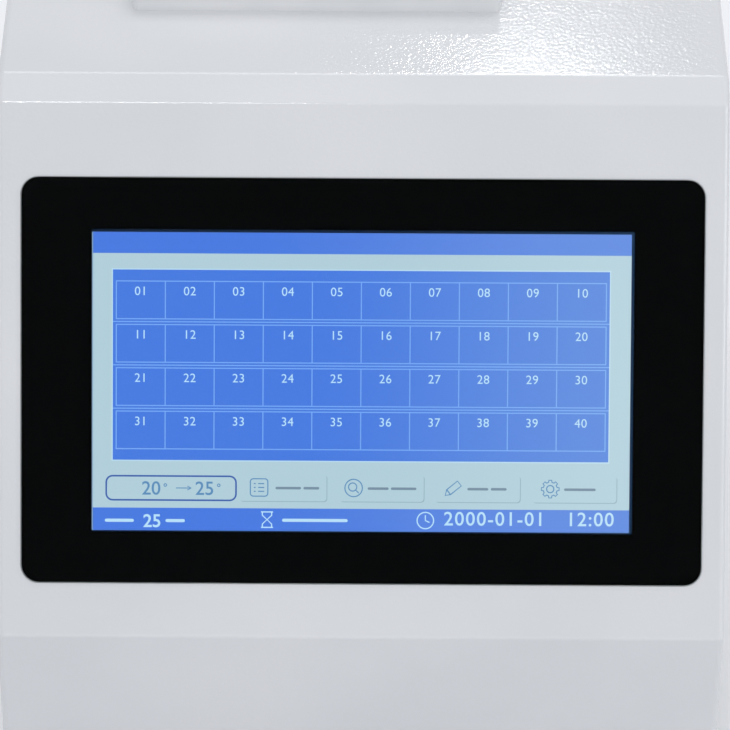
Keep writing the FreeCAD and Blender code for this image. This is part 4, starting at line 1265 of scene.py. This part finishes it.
def cog(centre: Point, teeth: int, root: float, tip: float, halves: Point = (0.3, 0.2)) -> Outline:
    """The outline of a cogwheel.

    Args:
        centre: its middle.
        teeth: how many teeth it has.
        root: the radius between the teeth.
        tip: the radius of their tips.
        halves: half a tooth's width at its root and at its tip, in tooth pitches.

    Returns:
        The outline, anticlockwise.
    """
    points: Outline = []
    foot, head = halves
    for tooth in range(teeth):
        for shift, reach in ((-foot, root), (-head, tip), (head, tip), (foot, root)):
            angle = math.tau * (tooth + shift) / teeth
            points.append((centre[0] + reach * math.cos(angle), centre[1] + reach * math.sin(angle)))
    return points


DEGREE_SPOTS = ((-80.6, -42.9), (-58.6, -42.9))
TEMPERATURE_ARROW = ((((-76.2, -44.1), (-69.9, -44.1)), False),
                     (((-71.5, -43.3), (-69.9, -44.1), (-71.5, -44.9)), False))
LENS_ICON = ((circle(3.6, 24, (-3.1, -43.7)), True), (circle(1.7, 16, (-3.5, -43.3)), True),
             (((-2.2, -44.6), (-1.0, -45.8)), False))
PENCIL_ICON = ((((34.6, -46.6), (35.2, -44.2), (39.6, -40.6), (41.2, -42.6), (36.8, -46.2)), True),
               (((35.2, -44.2), (36.8, -46.2)), False))
WHEEL_ICON = ((cog((77.8, -43.7), teeth=8, root=2.9, tip=3.7), True), (circle(1.5, 16, (77.8, -43.7)), True))
SAND_GLASS_ICON = (
    (((-41.2, -53.8), (-36.2, -53.8)), False),
    (((-41.2, -60.2), (-36.2, -60.2)), False),
    (((-40.6, -53.8), (-40.6, -55.2), (-38.7, -57.0), (-40.6, -58.8), (-40.6, -60.2)), False),
    (((-36.8, -53.8), (-36.8, -55.2), (-38.7, -57.0), (-36.8, -58.8), (-36.8, -60.2)), False),
)
CLOCK_ICON = ((circle(3.4, 24, (26.5, -57.0)), True), (((26.5, -54.8), (26.5, -57.0), (28.2, -57.8)), False))


@dataclass
class Screen:
    """What the lit screen shows: plain fields, rules, numerals and line icons.

    Places are millimetres on the panel from the middle of its lit area, across and up. Labels are short plain
    bars. A span is a width and the place of its middle across; an area adds the height and the place up.
    """

    finishes: Finishes
    face: FacePlane
    middle: float = SCREEN_MIDDLE_MM
    depth: float = 1.88
    layer: float = 0.02
    page: Point = (221.2, 122.9)
    page_spot: Point = (-0.25, -0.22)
    title_height: float = 8.7
    status_height: float = 9.35
    # where the ring of painted edge shade round the page begins and ends, and its corner
    painted_shade_reach: Point = (3.0, 0.05)
    painted_shade_corner: float = 0.3
    glint_width: float = 0.45
    glint_in: float = 0.22
    table: Point = (203.8, 78.35)
    table_spot: Point = (-0.35, 6.63)
    table_edge: float = 0.5
    columns: int = 10
    rows: int = 4
    cell: Point = (20.1, 15.5)
    row_pitch: float = 17.85
    first_row_up: float = 33.35
    rule: float = 0.42
    rule_share: float = 0.8
    number_up: float = 3.5
    number_height: float = 3.7
    number_pace: float = 1.05
    buttons_up: float = -43.7
    button_height: float = 11.2
    button_corner: float = 1.4
    button_shade: float = 0.35
    button_spans: tuple[Point, ...] = ((35.9, -32.2), (34.7, 8.4), (35.1, 47.8), (34.7, 87.7))
    labels_up: float = -43.9
    label_gauge: float = 1.05
    label_corner: float = 0.5
    label_spans: tuple[Point, ...] = ((10.5, -30.0), (6.5, -20.5), (8.6, 7.0), (10.5, 17.5), (8.6, 48.0),
                                      (6.5, 56.6), (13.0, 90.0))
    status_areas: tuple[Area, ...] = ((12.0, 1.3, -99.5, -57.6), (8.0, 1.3, -76.5, -57.6),
                                      (27.0, 1.3, -19.0, -57.2))
    status_corner: float = 0.65
    box: Point = (53.4, 9.95)
    box_corner: float = 2.6
    box_line: float = 0.7
    box_spot: Point = (-78.2, -44.15)
    degrees: tuple[Word, ...] = (("20", -86.4, -44.5), ("25", -64.4, -44.5))
    degree_height: float = 5.7
    degree_bolder: float = 0.06
    degree_ring: float = 0.55
    degree_sides: int = 10
    degree_line: float = 0.4
    minutes: Word = ("25", -86.0, -58.0)
    minute_height: float = 5.4
    minute_bolder: float = 0.12
    clock: Word = ("2000-01-01   12:00", 34.0, -56.5)
    clock_height: float = 5.8
    clock_pace: float = 1.12
    clock_bolder: float = 0.07
    button_line: float = 0.46
    status_line: float = 0.5

    def place(self, layer: Layer, across: float = 0.0, up: float = 0.0) -> Matrix:
        """Where a point of the panel lies on one of the picture's layers."""
        out = -self.depth + layer.value * self.layer
        return self.face.matrix(across * MM, (self.middle + up) * MM, out * MM)

    def keep(self, piece: bpy.types.Object, finish: Finish) -> None:
        """Dress a piece of the picture and let it ride with the instrument."""
        self.finishes.dress(piece, finish)
        settle(piece, "root")

    def lay(self, name: str, finish: Finish, areas: Iterable[Area], layer: Layer,
            corner: float = 0.05) -> None:
        """Lay flat fields of one colour.

        Args:
            name: the piece's name.
            finish: its lit colour.
            areas: each field's width, height, and middle across and up.
            layer: the layer that they lie on.
            corner: their corner radius.
        """
        shape = bmesh.new()
        for width, height, across, up in areas:
            outline = scaled(rounded_rectangle(width, height, corner, steps=4))
            plate(shape, outline, self.layer * MM, self.place(layer, across, up))
        self.keep(make_object(name, shape), finish)

    def fields(self) -> None:
        """The page, its two bars, a painted glint at its left edge, a faintly glowing ring of painted edge
        shade round it, and the table's block with its pale edge.
        """
        width, height = self.page
        across, up = self.page_spot
        title = (width, self.title_height, across, up + (height - self.title_height) / 2)
        status = (width, self.status_height, across, up + (self.status_height - height) / 2)
        self.lay("screen_page", PAGE_LIGHT, [(width, height, across, up)], Layer.PAGE)
        self.lay("screen_bars", BAR_LIGHT, [title, status], Layer.LOWER)
        # A dark navy ring just outside the page: painted shade and reflection at the panel's edge.
        shape = bmesh.new()
        rings = [scaled(rounded_rectangle(width + 2 * grow, height + 2 * grow, self.painted_shade_corner))
                 for grow in self.painted_shade_reach]
        frame_ring(shape, *rings, self.layer * MM / 2, self.place(Layer.GLOW, across, up))
        self.keep(make_object("panel_painted_shade_ring", shape), PAINTED_EDGE_SHADE)
        glint = (self.glint_width, height, across - width / 2 + self.glint_in, up)
        self.lay("panel_left_glint", GLINT_LIGHT, [glint], Layer.GLINT)
        edge = [side + 2 * self.table_edge for side in self.table]
        self.lay("screen_table_edge", EDGE_LIGHT, [(*edge, *self.table_spot)], Layer.LOWER)
        self.lay("screen_table", TABLE_LIGHT, [(*self.table, *self.table_spot)], Layer.UPPER)

    def cells(self) -> None:
        """The table's rules: upright ones at each cell's side and level ones over and under each row."""
        material = self.finishes.get(RULE_LIGHT)
        across = self.table_spot[0]
        wide = self.columns * self.cell[0]
        mid = self.first_row_up - (self.rows - 1) / 2 * self.row_pitch
        thin = self.layer * self.rule_share
        uprights = Repeat((self.rule, self.cell[1], thin), self.columns + 1, self.rows, self.cell[0],
                          self.row_pitch)
        meshes = [uprights.mesh(material, self.place(Layer.RULES, across, mid))]
        level = Repeat((wide + self.rule, self.rule, thin), 1, self.rows, 0.0, self.row_pitch)
        for side in (-1, 1):
            place = self.place(Layer.RULES, across, mid + side * self.cell[1] / 2)
            meshes.append(level.mesh(material, place))
        between = Repeat((self.table[0], self.rule, thin), 1, self.rows - 1, 0.0, self.row_pitch)
        meshes.append(between.mesh(material, self.place(Layer.RULES, across, mid)))
        self.keep(from_meshes("screen_cells", meshes), RULE_LIGHT)

    def numbers(self) -> None:
        """The cells' numbers from 01 to 40."""
        words = []
        for index in range(self.rows * self.columns):
            row, column = divmod(index, self.columns)
            across = (column - (self.columns - 1) / 2) * self.cell[0] + self.table_spot[0]
            up = self.first_row_up + self.number_up - row * self.row_pitch
            words.append((f"{index + 1:02d}", across, up))
        mesh = numerals(words, self.number_height, self.place(Layer.NUMBERS), pace=self.number_pace)
        self.keep(from_meshes("screen_numbers", [mesh]), NUMBER_LIGHT)

    def buttons(self) -> None:
        """Four touch buttons with a shaded lower and right edge, and short bars where labels stand."""
        faces = [(width, self.button_height, across, self.buttons_up) for width, across in self.button_spans]
        shades = [(width, height, across + self.button_shade, up - self.button_shade)
                  for width, height, across, up in faces]
        labels = [(width, self.label_gauge, across, self.labels_up) for width, across in self.label_spans]
        self.lay("button_shades", SHADE_LIGHT, shades, Layer.LOWER, self.button_corner)
        self.lay("button_faces", PAGE_LIGHT, faces, Layer.FACES, self.button_corner)
        self.lay("button_labels", LABEL_INK, labels, Layer.LABELS, self.label_corner)
        self.lay("status_labels", NUMBER_LIGHT, self.status_areas, Layer.MARKS, self.status_corner)

    def readings(self) -> None:
        """The box with two temperatures and an arrow, and the plain figures of the lower bar."""
        outline = rounded_rectangle(*self.box, self.box_corner, steps=5)
        box = traced([(outline, True)], self.box_line, self.place(Layer.LINES, *self.box_spot))
        self.keep(from_meshes("temperature_box", [box]), BOX_LINE)
        rings = [(circle(self.degree_ring, self.degree_sides, spot), True) for spot in DEGREE_SPOTS]
        inside = self.place(Layer.LOWER)
        self.keep(from_meshes("temperature_figures", [
            numerals(self.degrees, self.degree_height, inside, bolder_mm=self.degree_bolder),
            traced([*TEMPERATURE_ARROW, *rings], self.degree_line, self.place(Layer.LINES))]), FIGURE_INK)
        bar = self.place(Layer.UPPER)
        self.keep(from_meshes("status_figures", [
            numerals([self.minutes], self.minute_height, bar, bolder_mm=self.minute_bolder),
            numerals([self.clock], self.clock_height, bar, Spread.LEFT, self.clock_pace,
                     self.clock_bolder)]), NUMBER_LIGHT)

    def icons(self) -> None:
        """Line icons: page, lens, pencil and wheel on the buttons, sand glass and clock below."""
        buttons = traced([*LENS_ICON, *page_icon(), *PENCIL_ICON, *WHEEL_ICON], self.button_line,
                         self.place(Layer.ICONS))
        self.keep(from_meshes("button_icons", [buttons]), FIGURE_INK)
        status = traced([*SAND_GLASS_ICON, *CLOCK_ICON], self.status_line, self.place(Layer.ICONS))
        self.keep(from_meshes("status_icons", [status]), NUMBER_LIGHT)

    def build(self) -> None:
        """Lay out the whole picture."""
        self.fields()
        self.cells()
        self.numbers()
        self.buttons()
        self.readings()
        self.icons()


@dataclass
class TubeRack:
    """The raised rack: numbers printed beside the wells. Sizes are millimetres."""

    finishes: Finishes
    rows: int = 4
    columns: int = 10
    well_pitch: float = 13.5
    number_height: float = 2.6
    number_behind: float = 7.4
    sunk: float = 0.02

    def build(self) -> None:
        """Print each bar's numbers in front of its wells."""
        meshes = []
        lift = (FIGURE_GAUGE_MM / 2 - self.sunk) * MM
        for row in range(self.rows):
            low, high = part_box(f"well_bar_{row + 1}")
            middle = (low + high) / 2
            first = (self.rows - 1 - row) * self.columns + 1
            words = [(f"{first + column:02d}", (column - (self.columns - 1) / 2) * self.well_pitch,
                      -self.number_behind) for column in range(self.columns)]
            place = Matrix.Translation((middle.x, middle.y, high.z + lift))
            meshes.append(numerals(words, self.number_height, place))
        settle_meshes(self.finishes, "well_numbers", meshes, NUMBER_INK, "root")


@dataclass
class StripPrinter:
    """Details of the strip printer: grip ribs, button mark and light. Sizes are millimetres."""

    finishes: Finishes
    ribs: int = 4
    rib: Place = (30.0, 0.9, 1.0)
    rib_pitch: float = 2.4
    rib_from_edge: float = 12.0
    rib_proud: float = 0.4
    button_proud: float = 2.0
    arrow: tuple[Stroke, ...] = ((((-1.6, -0.2), (0.0, 1.4), (1.6, -0.2)), False),
                                 (((0.0, 1.4), (0.0, -2.0)), False))
    arrow_line: float = 0.45
    light_radius: float = 1.3
    light_proud: float = 0.5
    light_right: float = 40.0
    light_sides: int = 24

    def build(self) -> None:
        """Make the details and let each ride on its own body."""
        low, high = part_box("printer_door")
        button_low, button_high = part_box("feed_button")
        centre = (button_low + button_high) / 2
        lid_top = button_high.z - self.button_proud * MM
        place = Matrix.Translation(((low.x + high.x) / 2, low.y + self.rib_from_edge * MM,
                                    lid_top + (self.rib_proud - self.rib[2] / 2) * MM))
        ribs = Repeat(self.rib, 1, self.ribs, 0.0, self.rib_pitch)
        mesh = ribs.mesh(self.finishes.get(PRINTER_PLASTIC), place)
        settle_meshes(self.finishes, "lid_grip_ribs", [mesh], PRINTER_PLASTIC, "door",
                      soft=True)
        mark = traced(self.arrow, self.arrow_line, Matrix.Translation((centre.x, centre.y, button_high.z)))
        settle_meshes(self.finishes, "button_mark", [mark], MARK_WHITE, "button", soft=True)
        lamp = Repeat((self.light_radius, self.light_radius, 2 * self.light_proud), unit=Unit.STUD,
                      stud_sides=self.light_sides)
        place = Matrix.Translation((centre.x + self.light_right * MM, centre.y, lid_top))
        mesh = lamp.mesh(self.finishes.get(GREEN_LENS), place)
        settle_meshes(self.finishes, "ready_light", [mesh], GREEN_LENS, "root", soft=True)


@dataclass
class RearSide:
    """Details at the back: the inlet's pins, the sockets' contacts and the rocker's marks.

    Sizes are millimetres.
    """

    finishes: Finishes
    pin: Place = (2.2, 14.0, 4.4)
    pin_apart: float = 7.0
    pin_drop: float = 1.8
    pin_depth: float = 9.0
    contact: Place = (0.5, 5.0, 0.3)
    contact_pitch: float = 1.02
    contact_depth: float = 4.0
    network_contacts: int = 8
    network_wall: float = 2.0
    tongue: Place = (10.6, 8.0, 1.8)
    tongue_depth: float = 5.5
    tongue_up: float = 0.8
    tongue_contacts: int = 4
    tongue_pitch: float = 2.5
    serial_contacts: int = 9
    serial_pitch: float = 1.3
    serial_tongue: float = 3.5
    mark_width: float = 0.5
    bar_mark: tuple[Point, Point] = ((0.0, 4.6), (0.0, 8.0))
    ring_mark: float = 1.8
    ring_up: float = -6.2

    def spot(self, node: str, across: float, depth: float, up: float) -> Matrix:
        """A place in a socket.

        Args:
            node: the socket's name.
            across: millimetres to the right of its middle.
            depth: millimetres in from its mouth.
            up: millimetres above its middle.

        Returns:
            The place as a matrix.
        """
        low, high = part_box(node)
        middle = (low + high) / 2
        return Matrix.Translation((middle.x + across * MM, high.y - depth * MM, middle.z + up * MM))

    def inlet(self) -> None:
        """Set the inlet's three pins."""
        material = self.finishes.get(NICKEL)
        meshes = []
        for across, up in ((-1, -1), (1, -1), (0, 1)):
            place = self.spot("inlet_socket", across * self.pin_apart, self.pin_depth, up * self.pin_drop)
            meshes.append(Repeat(self.pin).mesh(material, place))
        settle_meshes(self.finishes, "inlet_pins", meshes, NICKEL, "root")

    def contacts(self) -> None:
        """Set the gilt contacts of the network, USB and serial sockets, and the USB socket's tongue."""
        material = self.finishes.get(GILT)
        low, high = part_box("network_port")
        roof = (high.z - low.z) / 2 / MM - self.network_wall - self.contact[2] / 2
        row = Repeat(self.contact, self.network_contacts, 1, self.contact_pitch)
        meshes = [row.mesh(material, self.spot("network_port", 0.0, self.contact_depth, roof))]
        under = self.tongue_up - (self.tongue[2] + self.contact[2]) / 2
        row = Repeat(self.contact, self.tongue_contacts, 1, self.tongue_pitch)
        meshes.append(row.mesh(material, self.spot("usb_port", 0.0, self.contact_depth, under)))
        row = Repeat(self.contact, self.serial_contacts, 1, self.serial_pitch)
        for side in (-1, 1):
            meshes.append(row.mesh(material, self.spot("serial_port", 0.0, self.contact_depth,
                                                       side * self.serial_tongue / 2)))
        settle_meshes(self.finishes, "socket_contacts", meshes, GILT, "root")
        tongue = Repeat(self.tongue).mesh(self.finishes.get(BAR_PLASTIC),
                                          self.spot("usb_port", 0.0, self.tongue_depth, self.tongue_up))
        settle_meshes(self.finishes, "usb_tongue", [tongue], BAR_PLASTIC, "root")

    def rocker(self, node: bpy.types.Object) -> None:
        """Print a bar and a ring on the rocker's outer face.

        Args:
            node: the rocker's own piece.
        """
        outer = [face for face in node.data.polygons if face.normal.y > OUTWARD]
        area = sum(face.area for face in outer)
        middle = sum((face.center * face.area for face in outer), Vector()) / area
        out = sum((face.normal * face.area for face in outer), Vector()).normalized()
        right = Vector((-1, 0, 0))
        axes = Matrix((right, out.cross(right), out)).transposed().to_4x4()
        strokes = [(list(self.bar_mark), False), (circle(self.ring_mark, 24, (0.0, self.ring_up)), True)]
        mesh = traced(strokes, self.mark_width, Matrix.Translation(middle) @ axes)
        settle_meshes(self.finishes, "rocker_marks", [mesh], MARK_WHITE, "rocker")

    def build(self, rocker: bpy.types.Object) -> None:
        """Make every detail of the back.

        Args:
            rocker: the mains rocker's own piece.
        """
        self.inlet()
        self.contacts()
        self.rocker(rocker)


def dress_board(finishes: Finishes, node: bpy.types.Object, axis: Vector) -> None:
    """Give the parts soldered on a board a finish of their own.

    Args:
        finishes: where the materials come from.
        node: the board with its parts, as one piece.
        axis: the board's normal.
    """
    levels: dict[float, float] = {}
    for face in node.data.polygons:
        if abs(face.normal.dot(axis)) > OUTWARD:
            level = round(face.center.dot(axis), LEVEL_DIGITS)
            levels[level] = levels.get(level, 0.0) + face.area
    low, high = sorted(sorted(levels, key=levels.get)[-2:])
    node.data.materials.append(finishes.get(CHIP_RESIN))
    for face in node.data.polygons:
        face.material_index = int(not low - LEVEL_SLACK < face.center.dot(axis) < high + LEVEL_SLACK)


def dress_nodes(finishes: Finishes, nodes: dict[str, bpy.types.Object]) -> None:
    """Give every carried-over piece the finish of its material.

    Args:
        finishes: where the materials come from.
        nodes: the frame's objects by name.
    """
    for finish, names in NODE_FINISHES.items():
        for name in names.split():
            finishes.dress(nodes[name], finish)


@dataclass(frozen=True)
class Studio:
    """The bench, soft lamps and the camera at the photograph's viewing angle.

    Lamps are given by name, place, aim, size and power, in metres and watts. The gleams stand behind the
    instrument, mirrored by the deck and its front fold; they give no diffuse light.
    """

    lamps: tuple[Lamp, ...] = (
        ("top_softbox", (-0.3, -0.95, 1.75), (0.0, 0.0, 0.15), (0.4, 0.25), 5.4),
        ("overhead_softbox", (0.1, 0.7, 1.9), (0.0, 0.1, 0.2), (1.4, 1.0), 9.0),
        ("front_softbox", (0.3, -2.4, 0.55), (0.0, 0.0, 0.15), (2.0, 0.8), 6.2),
        ("left_softbox", (-2.2, -0.8, 0.7), (0.0, 0.0, 0.15), (0.8, 1.0), 5.0),
        ("right_softbox", (2.2, -0.8, 0.7), (0.0, 0.0, 0.15), (0.8, 1.0), 10.0),
    )
    gleams: tuple[Lamp, ...] = (
        ("fold_gleam", (0.14, 1.34, 1.75), (0.08, 0.0, 0.26), (0.18, 0.5), 4.0),
        ("deck_glitter", (0.14, 1.5, 1.44), (0.08, 0.0, 0.26), (0.1, 0.1), 1.1),
    )
    backdrop_glow: float = 0.25
    bench_side: float = 14.0
    bench_colour: str = "#d9dadd"
    bench_roughness: float = 0.6
    world_colour: str = "#c5c7ca"
    backdrop_colour: str = "#f2f3f5"
    camera_elevation: float = 38.283
    camera_roll: float = 0.329
    camera_distance: float = 1.8
    focal_pixels: float = 4387.6
    aim_across: float = 1.29
    aim_up: float = 112.904
    sensor: float = 36.0

    def camera(self, face: FacePlane) -> None:
        """Set the camera so that the display face fills the frame as photographed.

        Args:
            face: the plane that the camera is aimed at.
        """
        data = bpy.data.cameras.new("photo_camera")
        data.sensor_width = self.sensor
        data.lens = self.focal_pixels * self.sensor / IMAGE_SIDE
        camera = bpy.data.objects.new("photo_camera", data)
        bpy.context.scene.collection.objects.link(camera)
        elevation = math.radians(self.camera_elevation)
        back = Vector((0, -math.cos(elevation), math.sin(elevation)))
        target = face.matrix(self.aim_across * MM, self.aim_up * MM).translation
        right = Vector((0, 0, 1)).cross(back).normalized()
        turn = Matrix.Rotation(math.radians(self.camera_roll), 4, "Z")
        axes = Matrix((right, back.cross(right), back)).transposed().to_4x4()
        camera.matrix_world = Matrix.Translation(target + back * self.camera_distance) @ axes @ turn
        bpy.context.scene.camera = camera

    @staticmethod
    def lamp(name: str, place: Place, aim: Place, size: Point, power: float) -> bpy.types.Object:
        """Hang one soft rectangular lamp.

        Args:
            name: the lamp's name.
            place: where it hangs, in metres.
            aim: the point that it faces.
            size: its width and height in metres.
            power: its strength in watts.

        Returns:
            The lamp.
        """
        data = bpy.data.lights.new(name, "AREA")
        data.shape = "RECTANGLE"
        data.size, data.size_y = size
        data.energy = power
        lamp = bpy.data.objects.new(name, data)
        bpy.context.scene.collection.objects.link(lamp)
        toward = Vector(aim) - Vector(place)
        lamp.matrix_world = Matrix.Translation(place) @ toward.to_track_quat("-Z", "Y").to_matrix().to_4x4()
        return lamp

    def bench(self) -> None:
        """Lay the pale bench, which shows the backdrop's light to the camera and to glass and metal."""
        shape = bmesh.new()
        bmesh.ops.create_grid(shape, x_segments=1, y_segments=1, size=self.bench_side / 2)
        bench = make_object("bench", shape)
        material, tree, shader = new_material(
            "bench_laminate", Base_Color=linear(self.bench_colour), Roughness=self.bench_roughness,
            Emission_Color=linear(self.backdrop_colour))
        rays = add(tree, "ShaderNodeLightPath").outputs
        seen = rays["Is Camera Ray"]
        for kind in ("Is Glossy Ray", "Is Transmission Ray"):
            seen = add(tree, "ShaderNodeMath", {"operation": "MAXIMUM"}, {0: seen, 1: rays[kind]}).outputs[0]
        glow = add(tree, "ShaderNodeMath", {"operation": "MULTIPLY"}, {0: seen, 1: self.backdrop_glow})
        tree.links.new(glow.outputs[0], shader.inputs["Emission Strength"])
        bench.data.materials.append(material)

    def build(self, face: FacePlane) -> None:
        """Set the whole studio.

        Args:
            face: the plane that the camera is aimed at.
        """
        self.bench()
        world = bpy.data.worlds.new("room")
        bpy.context.scene.world = world
        world.use_nodes = True
        sky = world.node_tree.nodes["Background"]
        sky.inputs[0].default_value = linear(self.world_colour)
        sky.inputs[1].default_value = 1.0
        for lamp in self.lamps:
            self.lamp(*lamp)
        for gleam in self.gleams:
            self.lamp(*gleam).visible_diffuse = False
        self.camera(face)
        bpy.context.scene.view_settings.view_transform = "Standard"


def main() -> None:
    """Load the frame, build and dress every sub-assembly, and set up the studio."""
    logging.basicConfig(level=logging.INFO, format="%(message)s")
    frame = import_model()
    finishes = Finishes()
    pane = Pane()
    casing = Casing(finishes, pane)
    dress_nodes(finishes, frame["nodes"])
    casing.build()
    face = casing.face()
    CoverGlass(finishes, face, pane).build()
    Screen(finishes, face).build()
    TubeRack(finishes).build()
    StripPrinter(finishes).build()
    RearSide(finishes).build(frame["nodes"]["power_rocker"])
    dress_board(finishes, frame["nodes"]["main_board"], Vector((0, 0, 1)))
    dress_board(finishes, frame["nodes"]["display_board"], face.matrix().to_3x3() @ Vector((0, 0, 1)))
    Studio().build(face)


if __name__ == "__main__":
    main()
